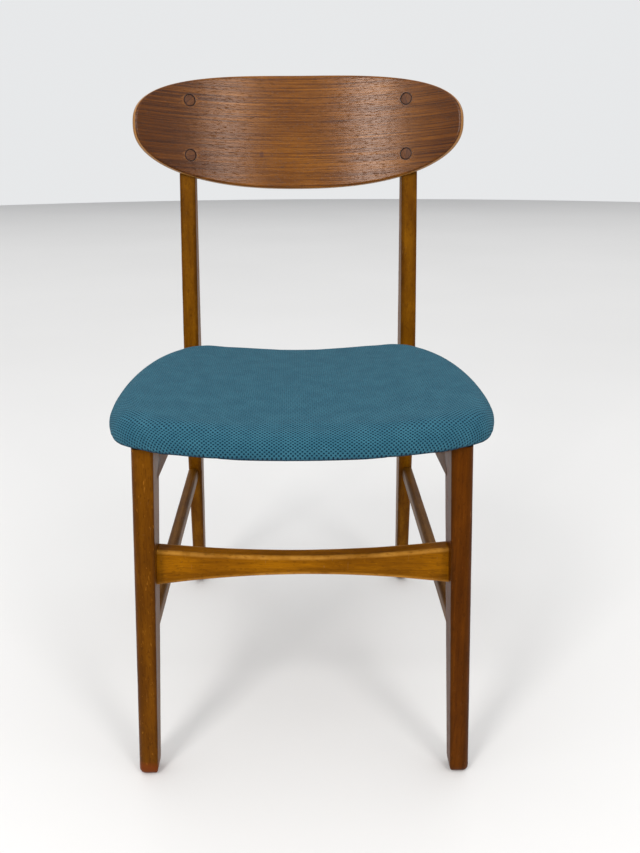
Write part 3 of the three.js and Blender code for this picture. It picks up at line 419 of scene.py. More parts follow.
# ---- Meshes -------------------------------------------------------------------------------------
class Skin:
    """A mesh under construction: points with named values, and faces."""

    def __init__(self):
        self.points = []
        self.values = {}
        self.faces = []

    def point(self, place, **values):
        index = len(self.points)
        self.points.append(Vector(place))
        for name, value in values.items():
            self.values.setdefault(name, {})[index] = value
        return index

    def ring(self, items):
        """items are (place, values). Returns the points' numbers."""
        return [self.point(place, **values) for place, values in items]

    def middle(self, ring):
        return sum((self.points[i] for i in ring), Vector()) / len(ring)

    def bridge(self, first, second):
        count = len(first)
        for i in range(count):
            j = (i + 1) % count
            self.faces.append((first[i], first[j], second[j], second[i]))

    def fan(self, ring, centre, flip=False):
        for i in range(len(ring)):
            j = (i + 1) % len(ring)
            corners = (ring[i], ring[j], centre)
            self.faces.append(corners[::-1] if flip else corners)

    def wrap(self, rings, *ends):
        """Joins each ring to the next and closes both ends, each at a (place, values)."""
        for first, second in zip(rings, rings[1:]):
            self.bridge(first, second)
        for ring, (place, values) in zip((rings[0], rings[-1]), ends):
            self.fan(ring, self.point(place, **values), flip=ring is rings[0])

    def mesh(self, name, smooth_below=40.0):
        made = bpy.data.meshes.new(name)
        made.from_pydata(self.points, [], self.faces)
        for label, given in self.values.items():
            vector = isinstance(next(iter(given.values())), (tuple, Vector))
            layer = made.attributes.new(label, "FLOAT_VECTOR" if vector else "FLOAT", "POINT")
            for index, value in given.items():
                setattr(layer.data[index], "vector" if vector else "value", value)
        body = bmesh.new()
        body.from_mesh(made)
        bmesh.ops.recalc_face_normals(body, faces=body.faces)
        body.to_mesh(made)
        body.free()
        made.polygons.foreach_set("use_smooth", [True] * len(made.polygons))
        made.set_sharp_from_angle(angle=math.radians(smooth_below))
        return made


def stood(name, data):
    """A new object in the scene."""
    made = bpy.data.objects.new(name, data)
    SCENE.collection.objects.link(made)
    return made


def worked(made):
    """The mesh that an object's modifiers give."""
    return bpy.data.meshes.new_from_object(made.evaluated_get(bpy.context.evaluated_depsgraph_get()))


def piece(name, mesh, material, slot, *nodes):
    """An object of the chair that stands for CAD nodes."""
    made = stood(name, mesh)
    mesh.materials.append(material)
    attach(made, "root")
    if nodes:
        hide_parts(*nodes)
    return made


def limited(value, low=0.0, high=1.0):
    return min(high, max(low, value))


def around(count):
    """Even steps round a circle, as (cosine, sine)."""
    turns = [i / count * 2 * math.pi for i in range(count)]
    return [(math.cos(turn), math.sin(turn)) for turn in turns]


def quarter(steps):
    """Even steps along a quarter round, as (share, 1 - sine, 1 - cosine)."""
    turns = [(i / steps, i / steps * math.pi / 2) for i in range(steps + 1)]
    return [(share, 1 - math.sin(turn), 1 - math.cos(turn)) for share, turn in turns]


def node_points(name):
    return [v.co.copy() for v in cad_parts[name].data.vertices]


def cut(name, axis, at):
    """Lowest and highest corner of a CAD node's section by a plane across one axis."""
    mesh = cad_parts[name].data
    at += NUDGE
    found = []
    for edge in mesh.edges:
        a, b = (mesh.vertices[i].co for i in edge.vertices)
        if (a[axis] - at) * (b[axis] - at) < 0:
            found.append(a.lerp(b, (at - a[axis]) / (b[axis] - a[axis])))
    return tuple(Vector([pick(p[i] for p in found) for i in range(3)]) for pick in (min, max))


def sections(name, axis, start, stop, count):
    places = [start + (stop - start) * i / count for i in range(count + 1)]
    return [cut(name, axis, limited(at, start + END_MARGIN, stop - END_MARGIN)) for at in places]


def between(first, last, share):
    """A section on the straight way from one section to another, or beyond it."""
    return tuple(a + (b - a) * share for a, b in zip(first, last))


def straight(name, axis, near, far, *places):
    """Sections of a straight bar at some places, from its sections at near and far."""
    first, last = cut(name, axis, near), cut(name, axis, far)
    return [between(first, last, (at - near) / (far - near)) for at in places]


def eased(values, share):
    """A smooth curve through evenly spaced values, at a share of its whole run."""
    last = len(values) - 1
    place = limited(share) * last
    i = min(int(place), last - 1)
    t = place - i
    before = values[i - 1] if i > 0 else values[0] * 2 - values[1]
    after = values[i + 2] if i + 2 <= last else values[last] * 2 - values[last - 1]
    a, b = values[i], values[i + 1]
    return 0.5 * (2 * a + (b - before) * t + (2 * before - 5 * a + 4 * b - after) * t * t
                  + (3 * a - before - 3 * b + after) * t ** 3)


def timber_ring(axis, at, low, high, radii, shrink=0.0):
    """A rounded section across an axis, as (place, values). Radii go round from the low corner."""
    across, up = [i for i in range(3) if i != axis]
    steps, least_radius, sharp_below, arris_width = 4, 0.0004, 0.0035, 0.0022
    arcs = []
    for index, (is_high, is_far) in enumerate(((0, 0), (1, 0), (1, 1), (0, 1))):
        radius = max(radii[index], shrink + least_radius)
        reach = radius - shrink
        a = high[across] - radius if is_high else low[across] + radius
        b = high[up] - radius if is_far else low[up] + radius
        turns = [math.pi + (index + step / steps) * math.pi / 2 for step in range(steps + 1)]
        arcs.append([(a + reach * math.cos(turn), b + reach * math.sin(turn)) for turn in turns])
    flat = []
    for index, arc in enumerate(arcs):
        start, stop = Vector(arc[-1]), Vector(arcs[(index + 1) % 4][0])
        sharp = 1.0 if radii[index] < sharp_below else 0.55
        flat += [(p, sharp) for p in arc]
        length = (stop - start).length
        margin = min(arris_width, 0.3 * length) / max(length, 1e-9)
        flat += [(tuple(start.lerp(stop, share)), 0.0) for share in (margin, 0.5, 1 - margin)]
    ring = []
    for (a, b), arris in flat:
        place = Vector((0, 0, 0))
        place[axis], place[across], place[up] = at, a, b
        ring.append((place, {"grain": (at, a, b), "arris": arris}))
    return ring


def uneven(place, seed):
    """The point moved by as much as hand sanding leaves."""
    waves_per_metre = 38.0
    here = place * waves_per_metre + Vector((seed, 0, 0))
    return place + noise.noise_vector(here) * SKIN_UNEVENNESS


def timber(name, axis, stations, start, stop, count, radii, seed, rounded_start=0.0):
    """A length of shaped timber. stations are evenly spaced (low, high) sections, eased into one another.
    The seed gives each piece its own part of the log."""
    skin = Skin()
    places = [(start + (stop - start) * i / count, 0.0) for i in range(count + 1)]
    if rounded_start:
        foot = [(start + rounded_start * drop, rounded_start * rise) for _, rise, drop in quarter(5)[:-1]]
        places = foot + [(at, 0.0) for at, _ in places if at > start + rounded_start]
    lows, highs = zip(*stations)
    log = Vector((0, 0.13 * seed, 0.07 * seed))
    rings = []
    for at, shrink in places:
        share = (at - start) / (stop - start)
        moved = []
        for place, values in timber_ring(axis, at, eased(lows, share), eased(highs, share), radii, shrink):
            grain = Vector(values["grain"]) + log
            moved.append((uneven(place, seed), {"grain": tuple(grain), "arris": values["arris"]}))
        rings.append(skin.ring(moved))
    middles = [skin.middle(ring) for ring in (rings[0], rings[-1])]
    skin.wrap(rings, *((middle, {"grain": tuple(middle), "arris": 0.0}) for middle in middles))
    return skin.mesh(name)


def shaped(node_name, ending, material, slot, *shape):
    """A piece of timber that stands for one CAD node. shape is what timber takes after the name."""
    name = node_name + ending
    piece(name, timber(name, *shape), material, slot, node_name)


def disc(profile, count, matrix, grain_turn=0.0):
    """A turned piece: profile is (radius, height, arris) from the middle of the top to the middle below."""
    skin = Skin()
    c, s = math.cos(grain_turn), math.sin(grain_turn)
    rings = []
    for radius, height, arris in profile:
        if radius == 0:
            place = matrix @ Vector((0, 0, height))
            rings.append([skin.point(place, grain=(0.0, 0.0, height), arris=arris)])
            continue
        items = []
        for cosine, sine in around(count):
            a, b = radius * cosine, radius * sine
            grain = (a * c + b * s, b * c - a * s, height)
            items.append((matrix @ Vector((a, b, height)), {"grain": grain, "arris": arris}))
        rings.append(skin.ring(items))
    for first, second in zip(rings, rings[1:]):
        if len(first) == 1:
            skin.fan(second, first[0])
        elif len(second) == 1:
            skin.fan(first, second[0], flip=True)
        else:
            skin.bridge(second, first)
    return skin


def facing(place, inward):
    """A frame at place with its own Z against inward and its X level."""
    out = -inward.normalized()
    level = Vector((0, 0, 1)).cross(out).normalized()
    turned = Matrix((level, out.cross(level), out)).transposed().to_4x4()
    return Matrix.Translation(place) @ turned


# ---- Camera, light and floor --------------------------------------------------------------------
def stand_camera():
    sight = bpy.data.cameras.new("camera")
    sight.sensor_width = 36.0
    sight.lens = 37.7599
    sight.shift_x = 0.026729
    across, away, height = -0.0072, 0.8938, 0.7412
    place = Matrix.Translation((across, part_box("front_leg_left")[0].y - away, height))
    turn = Matrix.Rotation(math.radians(-0.125), 4, "Z")
    tip = Matrix.Rotation(math.radians(90 - 18.435), 4, "X")
    roll = Matrix.Rotation(math.radians(-0.416), 4, "Z")
    camera = stood("camera", sight)
    camera.matrix_world = place @ turn @ tip @ roll
    SCENE.camera = camera


def soft_light(name, place, aim, width, height, power, colour=(1, 1, 1)):
    lamp = bpy.data.lights.new(name, "AREA")
    lamp.shape = "RECTANGLE"
    lamp.size = width
    lamp.size_y = height
    lamp.energy = power
    lamp.color = colour
    made = stood(name, lamp)
    made.location = place
    made.rotation_euler = (Vector(aim) - Vector(place)).to_track_quat("-Z", "Y").to_euler()


def light_studio():
    """Two windows that the backrest mirrors, a wide ceiling, and a world that is paler to the eye."""
    world = bpy.data.worlds.new("studio")
    SCENE.world = world
    world.use_nodes = True
    SCENE.view_settings.view_transform = "Standard"
    s = Shades(world.node_tree)
    shade = s.blended(s.node("LightPath")["Is Camera Ray"], (0.36, 0.365, 0.38, 1), (0.80, 0.81, 0.82, 1))
    s.fill(s.tree.nodes["Background"].inputs, {"Strength": 1.0, "Color": shade})
    low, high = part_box("backrest_shell")
    middle = (low + high) / 2
    rise, distance, width, height = 2 * BACKREST_TILT, 2.5, 0.50, 0.95
    for name, side, power in (("left", -1, 24), ("right", 1, 14)):
        way = Vector((side * math.sin(WINDOW_TURN) * math.cos(rise), -math.cos(WINDOW_TURN) * math.cos(rise),
                      math.sin(rise)))
        place = middle + way * distance
        soft_light("window_" + name, place, middle, width, height, power, (1.0, 0.98, 0.97))
    ceiling_height, ceiling_width, ceiling_power = 3.4, 14.0, 440
    soft_light("ceiling", (0, 1, ceiling_height), (0, 1, 0), ceiling_width, ceiling_width, ceiling_power)


def lay_floor():
    drop = 0.0003
    rings = [(reach, 0, 0) for reach in (0, 0.6, 1.6, 3.4, 6.0, 9.0)]
    mesh = disc(rings, 96, Matrix.Translation((0, 0, -drop))).mesh("floor")
    mesh.materials.append(pale_floor())
    floor = stood("floor", mesh)


# ---- Legs ---------------------------------------------------------------------------------------
def front_legs(material):
    """Straight tapers, cut clear of the foot's rounding and of the top."""
    foot, head = 0.012, 0.016
    outer, inner = 0.007, 0.0016
    for name, side in SIDES:
        node_name = "front_leg_" + name
        low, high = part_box(node_name)
        ends = straight(node_name, Z, low.z + foot, high.z - head, low.z, high.z)
        radii = (outer, inner, inner, outer) if side < 0 else (inner, outer, outer, inner)
        shaped(node_name, "_shaped", material[name], "stained_beech",
               Z, ends, low.z, high.z, 90, radii, 3 + side, FOOT_ROUNDING)


def rear_legs(material):
    """The lowest section is drawn on from two above it, clear of the foot's rounding."""
    clear, span = 0.010, 0.046
    inner_front, outer_front, outer_rear, inner_rear = 0.003, 0.0045, 0.006, 0.004
    for name, side in SIDES:
        node_name = "rear_leg_" + name
        low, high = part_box(node_name)
        stations = sections(node_name, Z, low.z, high.z, 14)
        stations[0] = straight(node_name, Z, low.z + clear, low.z + clear + span, low.z)[0]
        radii = (outer_front, inner_front, inner_rear, outer_rear)
        if side > 0:
            radii = (inner_front, outer_front, outer_rear, inner_rear)
        shaped(node_name, "_shaped", material, "stained_beech",
               Z, stations, low.z, high.z, 150, radii, 7 + side, FOOT_ROUNDING)


# ---- Rails and stretchers -----------------------------------------------------------------------
def side_stretchers(material):
    tenon, sunk = 0.013, 0.004
    for name, side in SIDES:
        node_name = "side_stretcher_" + name
        low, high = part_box(node_name)
        start, stop = low.y + tenon - sunk, high.y - tenon + sunk
        near, far = start + 0.25 * (stop - start), start + 0.75 * (stop - start)
        ends = straight(node_name, Y, near, far, start, stop)
        shaped(node_name, "_shaped", material, "stained_beech",
               Y, ends, start, stop, 60, (0.0048,) * 4, 12 + side)


def front_stretcher(material):
    """The arch. Its ends run on a little into the legs, drawn on from the sections beside them."""
    name, count, margin, sunk = "front_stretcher", 12, 0.010, 0.003
    low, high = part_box(name)
    start, stop = low.x - sunk, high.x + sunk
    inner = sections(name, X, low.x + margin, high.x - margin, count)
    beyond = (margin + sunk) / (high.x - low.x - 2 * margin) * count
    stations = [cut(name, X, start + (stop - start) * i / count) for i in range(1, count)]
    stations = [between(inner[0], inner[1], -beyond)] + stations + [between(inner[-1], inner[-2], -beyond)]
    shaped(name, "_shaped", material, "golden_beech",
           X, stations, start, stop, 80, (0.0022, 0.003, 0.0022, 0.0026), 17)


def rear_rail(material):
    low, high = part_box("rear_rail")
    cut_at, sunk, radius = 0.06, 0.002, 0.002
    start, stop = low.x - sunk, high.x + sunk
    ends = straight("rear_rail", X, -cut_at, cut_at, start, stop)
    shaped("rear_rail", "_shaped", material, "stained_beech", X, ends, start, stop, 50, (radius,) * 4, 21)


def front_cross_rail(material):
    name, cut_at, radius = "front_cross_rail", 0.06, 0.002
    low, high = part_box(name)
    ends = straight(name, X, -cut_at, cut_at, low.x, high.x)
    for lower, _ in ends:
        lower.z += CROSS_RAIL_EASE
    shaped(name, "_planed", material, "raw_beech", X, ends, low.x, high.x, 40, (radius,) * 4, 23)


# ---- Backrest -----------------------------------------------------------------------------------
def backrest_place(across, height, depth):
    """A point of the bent plywood before it is set in place. across runs round the bend."""
    turn = across / BACKREST_RADIUS
    reach = BACKREST_RADIUS + depth
    back = reach * math.cos(turn) - BACKREST_RADIUS
    return Vector((
        reach * math.sin(turn),
        height * math.sin(BACKREST_TILT) + back * math.cos(BACKREST_TILT),
        height * math.cos(BACKREST_TILT) - back * math.sin(BACKREST_TILT),
    ))


def backrest_outline(count, inset):
    """(across, height) round the rim. The width is measured straight across, as the eye sees it."""
    power = 2 / BACKREST_SQUARENESS
    rim = []
    for c, s in around(count):
        x = (BACKREST_WIDTH / 2 - inset) * math.copysign(abs(c) ** power, c)
        across = BACKREST_RADIUS * math.asin(x / BACKREST_RADIUS)
        rim.append((across, (BACKREST_HEIGHT / 2 - inset) * math.copysign(abs(s) ** power, s)))
    return rim


def backrest_shift():
    """What sets the bent plywood where the CAD has it."""
    low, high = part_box("backrest_shell")
    rim, face = backrest_outline(160, 0.0), backrest_outline(160, BACKREST_EDGE)
    points = [backrest_place(a, h, d) for a, h in rim
              for d in (BACKREST_EDGE, BACKREST_THICKNESS - BACKREST_EDGE)]
    points += [backrest_place(a * s, h * s, d) for a, h in face
               for d in (0.0, BACKREST_THICKNESS) for s in (0.0, 0.5, 1.0)]
    mine_low, mine_high = (Vector([pick(p[i] for p in points) for i in range(3)]) for pick in (min, max))
    return (low + high - mine_low - mine_high) / 2


BACKREST_SHIFT = backrest_shift()


def bare_share(turned):
    """0 where the face veneer is whole and 1 where the rounding has cut through to the layers."""
    return limited((turned - 0.5) * 4)


def bare_backrest():
    skin = Skin()
    count, turns, ways_in = 200, 6, 22
    waves_per_metre, waviness, arris = Vector((22, 22, 90)), 0.0001, 0.0006
    scales = [i / ways_in for i in range(1, ways_in)]

    def add(inset, depth, scale=1.0, edge=0.0):
        items = []
        for across, height in backrest_outline(count, inset):
            here = Vector((across * scale, height * scale, depth))
            wavy = noise.noise(here * waves_per_metre) * waviness
            place = backrest_place(*here) + BACKREST_SHIFT + Vector((0, wavy, 0))
            items.append((place, {"grain": tuple(here), "edge": edge}))
        return skin.ring(items)

    rings = [add(BACKREST_EDGE, 0.0, scale) for scale in scales] + [add(BACKREST_EDGE + arris, 0.0)]
    for share, inset, depth in quarter(turns):
        rings.append(add(BACKREST_EDGE * inset, BACKREST_EDGE * depth, 1.0, bare_share(share)))
    for share, depth, inset in quarter(turns):
        rings.append(add(BACKREST_EDGE * inset, BACKREST_THICKNESS - BACKREST_EDGE * depth, 1.0,
                         bare_share(1 - share)))
    rings.append(add(BACKREST_EDGE + arris, BACKREST_THICKNESS))
    rings += [add(BACKREST_EDGE, BACKREST_THICKNESS, scale) for scale in reversed(scales)]
    ends = [(backrest_place(0, 0, depth) + BACKREST_SHIFT, {"grain": (0.0, 0.0, depth), "edge": 0.0})
            for depth in (0.0, BACKREST_THICKNESS)]
    skin.wrap(rings, *ends)
    return skin.mesh("backrest_veneered", 50)


def plug_seat(name):
    """Middle of a plug's outer face and the direction into the wood, from its CAD node."""
    low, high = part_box("backrest_plug_" + name)
    middle = (low + high) / 2
    turn = math.asin((middle.x - BACKREST_SHIFT.x) / BACKREST_RADIUS)
    level = math.cos(turn)
    inward = Vector((math.sin(turn), level * math.cos(BACKREST_TILT), -level * math.sin(BACKREST_TILT)))
    return middle - inward.normalized() * PLUG_THICKNESS / 2, inward.normalized()


PLUG_NAMES = [f"{level}_{name}" for level in ("upper", "lower") for name, _ in SIDES]
PLUG_CENTRES = [tuple(plug_seat(name)[0]) for name in PLUG_NAMES]


def backrest(veneer, plug_finish):
    """The bent plywood with a hole bored for each plug, and the plugs."""
    shell = stood("backrest_veneered", bare_backrest())
    bore, above, below = PLUG_RADIUS + PLUG_CLEARANCE, 0.004, -PLUG_THICKNESS - 0.001
    for name in PLUG_NAMES:
        wall = disc([(0, above, 0), (bore, above, 0), (bore, below, 0), (0, below, 0)], 48,
                    facing(*plug_seat(name)))
        cutter = stood("cutter", wall.mesh("cutter"))
        boring = shell.modifiers.new("bore", "BOOLEAN")
        boring.operation = "DIFFERENCE"
        boring.solver = "EXACT"
        boring.object = cutter
        drilled = worked(shell)
        shell.modifiers.clear()
        shell.data = drilled
        bpy.data.objects.remove(cutter)
    bpy.data.objects.remove(shell)
    drilled.materials.clear()
    drilled.set_sharp_from_angle(angle=math.radians(50))
    piece("backrest_veneered", drilled, veneer, "teak_veneer", "backrest_shell")
    r, deep = PLUG_RADIUS, -PLUG_THICKNESS
    profile = [(0, 0.00005, 0.0), (0.4 * r, 0.00006, 0.0), (0.8 * r, 0.00005, 0.0), (r - 0.0008, 0.0, 0.25),
               (r - 0.0003, -0.0001, 0.9), (r, -0.0004, 1.0), (r, deep + 0.0003, 1.0),
               (r - 0.0003, deep, 1.0), (0, deep, 0.5)]
    for index, name in enumerate(PLUG_NAMES):
        mesh = disc(profile, 48, facing(*plug_seat(name)), 0.7 + index * 1.3).mesh("plug_" + name)
        piece("plug_" + name, mesh, plug_finish, "teak_plug", "backrest_plug_" + name)


# ---- Screws and dowels --------------------------------------------------------------------------
def wood_screw(name, node_name, steel):
    """Countersunk screw with a cross recess and a thread, laid along the CAD screw's own axis."""
    points = node_points(node_name)
    middle = sum(points, Vector()) / len(points)
    tip = max(points, key=lambda p: (p - middle).length)
    opposite = sorted(points, key=lambda p: -(p - tip).length)[:8]
    head = sum(opposite, Vector()) / len(opposite)
    length = (tip - head).length
    matrix = facing(head, tip - head)
    count, pitch, head_radius, shank_radius = 24, 0.0018, 0.0040, 0.0020
    cross_width, cross_length, cross_depth, thread_depth = 0.0006, 0.0026, 0.0015, 0.0006
    rim, bevel, neck, smooth_share, point_length = 0.00035, 0.0012, 0.0026, 0.35, 0.004
    skin = Skin()

    def add(radius, depth, thread=0.0, recess=0.0):
        items = []
        for i, (cosine, sine) in enumerate(around(count)):
            crest = abs(((depth / pitch - i / count) % 1.0) * 2 - 1) ** 3
            reach = radius - thread * (1 - crest)
            a, b = reach * cosine, reach * sine
            in_cross = min(abs(a), abs(b)) < cross_width and max(abs(a), abs(b)) < cross_length
            items.append((matrix @ Vector((a, b, -depth - (recess if in_cross else 0.0))), {}))
        return skin.ring(items)

    rings = [add(0.0004 * i, 0.0, recess=cross_depth) for i in range(1, 10)]
    rings += [add(head_radius, rim), add(0.85 * head_radius, bevel), add(shank_radius, neck)]
    smooth_end = smooth_share * length
    rings.append(add(shank_radius, smooth_end))
    depth = smooth_end + pitch / 8
    while depth < length - point_length:
        rings.append(add(shank_radius, depth, thread=thread_depth))
        depth += pitch / 4
    rings.append(add(0.6 * shank_radius, length - 0.0018, thread=thread_depth / 2))
    rings.append(add(0.15 * shank_radius, length - 0.0002))
    skin.wrap(rings, (matrix @ Vector((0, 0, -0.0017)), {}), (matrix @ Vector((0, 0, -length)), {}))
    piece(name, skin.mesh(name, 35), steel, "screw_steel", node_name)


def fluted_dowel(node_name, beech):
    """A dowel with pressed flutes and chamfered ends, on the CAD dowel's axis."""
    points = node_points(node_name)
    low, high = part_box(node_name)
    middle = (low + high) / 2
    radius, chamfer, count, flute_every, flute_depth = 0.0040, 0.001, 32, 4, 0.00028
    far = max(points, key=lambda p: (p - middle).length)
    near_end = [p for p in points if (p - far).length < 2 * radius + 0.0002]
    axis = (sum(near_end, Vector()) / len(near_end) - middle).normalized()
    half = max((p - middle).dot(axis) for p in points)
    matrix = facing(middle, axis)
    skin = Skin()
    rings = []
    for along, reach in ((-half, radius - chamfer), (-half + chamfer, radius), (half - chamfer, radius),
                         (half, radius - chamfer)):
        items = []
        for i, (cosine, sine) in enumerate(around(count)):
            r = reach - (flute_depth if i % flute_every == 0 and reach == radius else 0.0)
            items.append((matrix @ Vector((r * cosine, r * sine, along)), {}))
        rings.append(skin.ring(items))
    skin.wrap(rings, (matrix @ Vector((0, 0, -half)), {}), (matrix @ Vector((0, 0, half)), {}))
    piece(node_name + "_fluted", skin.mesh(node_name + "_fluted", 25), beech, "raw_beech", node_name)


# ---- Seat ---------------------------------------------------------------------------------------
def plan_of(node_name, count):
    """The outline of a CAD node seen from above, eased into count points."""
    flat = [p.xy for p in node_points(node_name)]
    hull = [flat[i] for i in geometry.convex_hull_2d(flat)]
    kept = [p for i, p in enumerate(hull) if (p - hull[i - 1]).length > 0.003]
    spans = [(kept[(i + 1) % len(kept)] - kept[i]).length for i in range(len(kept))]
    whole = sum(spans)
    outline = []
    for k in range(count):
        along = k / count * whole
        i = 0
        while along > spans[i]:
            along -= spans[i]
            i += 1
        t = along / spans[i]
        before, a, b, after = (kept[(i + n) % len(kept)] for n in (-1, 0, 1, 2))
        reach_a = (b - before) * spans[i] / (spans[i - 1] + spans[i])
        reach_b = (after - a) * spans[i] / (spans[i] + spans[(i + 1) % len(kept)])
        outline.append(a * (2 * t ** 3 - 3 * t ** 2 + 1) + reach_a * (t ** 3 - 2 * t ** 2 + t)
                       + b * (3 * t ** 2 - 2 * t ** 3) + reach_b * (t ** 3 - t ** 2))
    return outline


SEAT_OUTLINE = plan_of("seat_cover", 160)
SEAT_LOW, SEAT_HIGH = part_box("seat_cover")
SEAT_MIDDLE = ((SEAT_LOW + SEAT_HIGH) / 2).xy


def saddle(x):
    return x * x / (2 * SEAT_SADDLE_RADIUS)


def height_on_seat(place):
    """Height above the cover's saddled underside."""
    return place.z - SEAT_LOW.z - saddle(place.x)


def signed_area(outline):
    return sum(a.x * b.y - b.x * a.y for a, b in zip(outline[-1:] + outline, outline)) / 2


def outline_ring(outline, inset, scale=1.0):
    """The outline moved in by inset, then drawn towards the middle."""
    hand = 1 if signed_area(outline) > 0 else -1
    ring = []
    for i, here in enumerate(outline):
        along = (outline[(i + 1) % len(outline)] - outline[i - 1]).normalized()
        inward = Vector((-along.y, along.x)) * hand
        ring.append((here + inward * inset).lerp(SEAT_MIDDLE, 1 - scale))
    return ring


def padded_form(name, skin_inset, low):
    """The padded seat: flat below, upright sides, a rolled edge and a crowned top."""
    skin = Skin()
    top = SEAT_THICKNESS - skin_inset
    steps, ways_in, half_wing = 9, [0.15 * i for i in range(1, 7)], 0.13
    rise = min(0.0065, 0.4 * (top - low))
    drop = min(0.0200, top - low - rise - 0.001)

    def add(inset, height, scale=1.0):
        places = outline_ring(SEAT_OUTLINE, inset + skin_inset, scale)
        wings = SEAT_WINGS * limited((height - low) / (top - low))
        base = SEAT_LOW.z + height
        return skin.ring([((p.x, p.y, base + saddle(p.x) + wings * min(1.0, (p.x / half_wing) ** 2)), {})
                          for p in places])

    rings = [add(SEAT_UNDERCUT, low, scale) for scale in ways_in]
    rings += [add(SEAT_UNDERCUT * inset, low + rise * up) for _, inset, up in quarter(steps)]
    rings += [add(SEAT_ROLL * inset, top - drop * down) for _, down, inset in quarter(steps)]
    rings += [add(SEAT_ROLL, top + SEAT_CROWN * (1 - scale ** 2), scale) for scale in reversed(ways_in)]
    skin.wrap(rings, *(((*SEAT_MIDDLE, SEAT_LOW.z + height), {}) for height in (low, top + SEAT_CROWN)))
    return skin.mesh(name)


def blown_up(still, even):
    """Moves the mesh out as pressed cloth would go, held along its lower edge and underneath."""
    held_below, frames, smoothings = 0.006, 20, 6
    rest = [v.co.copy() for v in even.vertices]
    held = still.vertex_groups.new(name="held")
    for vertex in even.vertices:
        held.add([vertex.index], 1.0 if height_on_seat(vertex.co) < held_below else 0.0, "REPLACE")
    cloth = still.modifiers.new("cloth", "CLOTH").settings
    cloth.quality = 5
    cloth.mass = 0.35
    cloth.use_pressure = True
    cloth.uniform_pressure_force = 4.0
    cloth.tension_stiffness = 30
    cloth.compression_stiffness = 30
    cloth.bending_stiffness = 3.0
    cloth.vertex_group_mass = "held"
    cloth.effector_weights.gravity = 0
    for step in range(1, frames + 1):
        SCENE.frame_set(step)
    posed = still.evaluated_get(bpy.context.evaluated_depsgraph_get())
    ends = [v.co.copy() for v in posed.data.vertices]
    SCENE.frame_set(1)
    still.modifiers.clear()
    normals = [vertex.normal.copy() for vertex in even.vertices]
    swell = [max(0.0, (after - before).dot(normal)) for normal, before, after in zip(normals, rest, ends)]
    neighbours = [[] for _ in swell]
    for edge in even.edges:
        a, b = edge.vertices
        neighbours[a].append(b)
        neighbours[b].append(a)
    for _ in range(smoothings):
        swell = [(own + sum(swell[n] for n in near)) / (1 + len(near))
                 for own, near in zip(swell, neighbours)]
    for vertex, before, normal, out in zip(even.vertices, rest, normals, swell):
        vertex.co = before + normal * min(out, MOST_SWELL)


def swollen(form):
    """The form remeshed evenly, blown up a little and made finer."""
    still = stood("cloth_form", form)
    remesh = still.modifiers.new("remesh", "REMESH")
    remesh.mode = "VOXEL"
    remesh.voxel_size = COVER_GRAIN
    even = worked(still)
    still.modifiers.clear()
    still.data = even
    blown_up(still, even)
    finer = still.modifiers.new("finer", "SUBSURF")
    finer.levels = 1
    done = worked(still)
    bpy.data.objects.remove(still)
    return done


def outline_reaches(count):
    """How far the outline stands from the middle, in even steps of angle from -X."""
    reaches = []
    for k in range(count):
        way = -math.pi + k / count * 2 * math.pi
        out = SEAT_MIDDLE + Vector((math.cos(way), math.sin(way)))
        best = 0.0
        for i, b in enumerate(SEAT_OUTLINE):
            hit = geometry.intersect_line_line_2d(SEAT_MIDDLE, out, SEAT_OUTLINE[i - 1], b)
            if hit:
                best = max(best, (hit - SEAT_MIDDLE).length)
        reaches.append(best or None)
    known = [r for r in reaches if r]
    return [r or sum(known) / len(known) for r in reaches]


OUTLINE_REACH = outline_reaches(180)


def share_of_outline(place):
    """0 at the middle of the seat and 1 at its outline."""
    here = place.xy - SEAT_MIDDLE
    if here.length < 1e-6:
        return 0.0
    count = len(OUTLINE_REACH)
    step = (math.atan2(here.y, here.x) + math.pi) / (2 * math.pi) * count
    i = int(step) % count
    t = step - int(step)
    return here.length / (OUTLINE_REACH[i] * (1 - t) + OUTLINE_REACH[(i + 1) % count] * t)


def open_below(mesh):
    """Takes away the cover's hidden underside, except for the lip that is turned in."""
    mean_reach, flat_below, faces_down = 0.2, 0.003, -0.5
    body = bmesh.new()
    body.from_mesh(mesh)
    hidden = []
    for face in body.faces:
        middle = face.calc_center_median()
        inside = (1 - share_of_outline(middle)) * mean_reach
        low = height_on_seat(middle) < flat_below and face.normal.z < faces_down
        if low and inside > COVER_LIP:
            hidden.append(face)
    bmesh.ops.delete(body, geom=hidden, context="FACES")
    body.to_mesh(mesh)
    body.free()


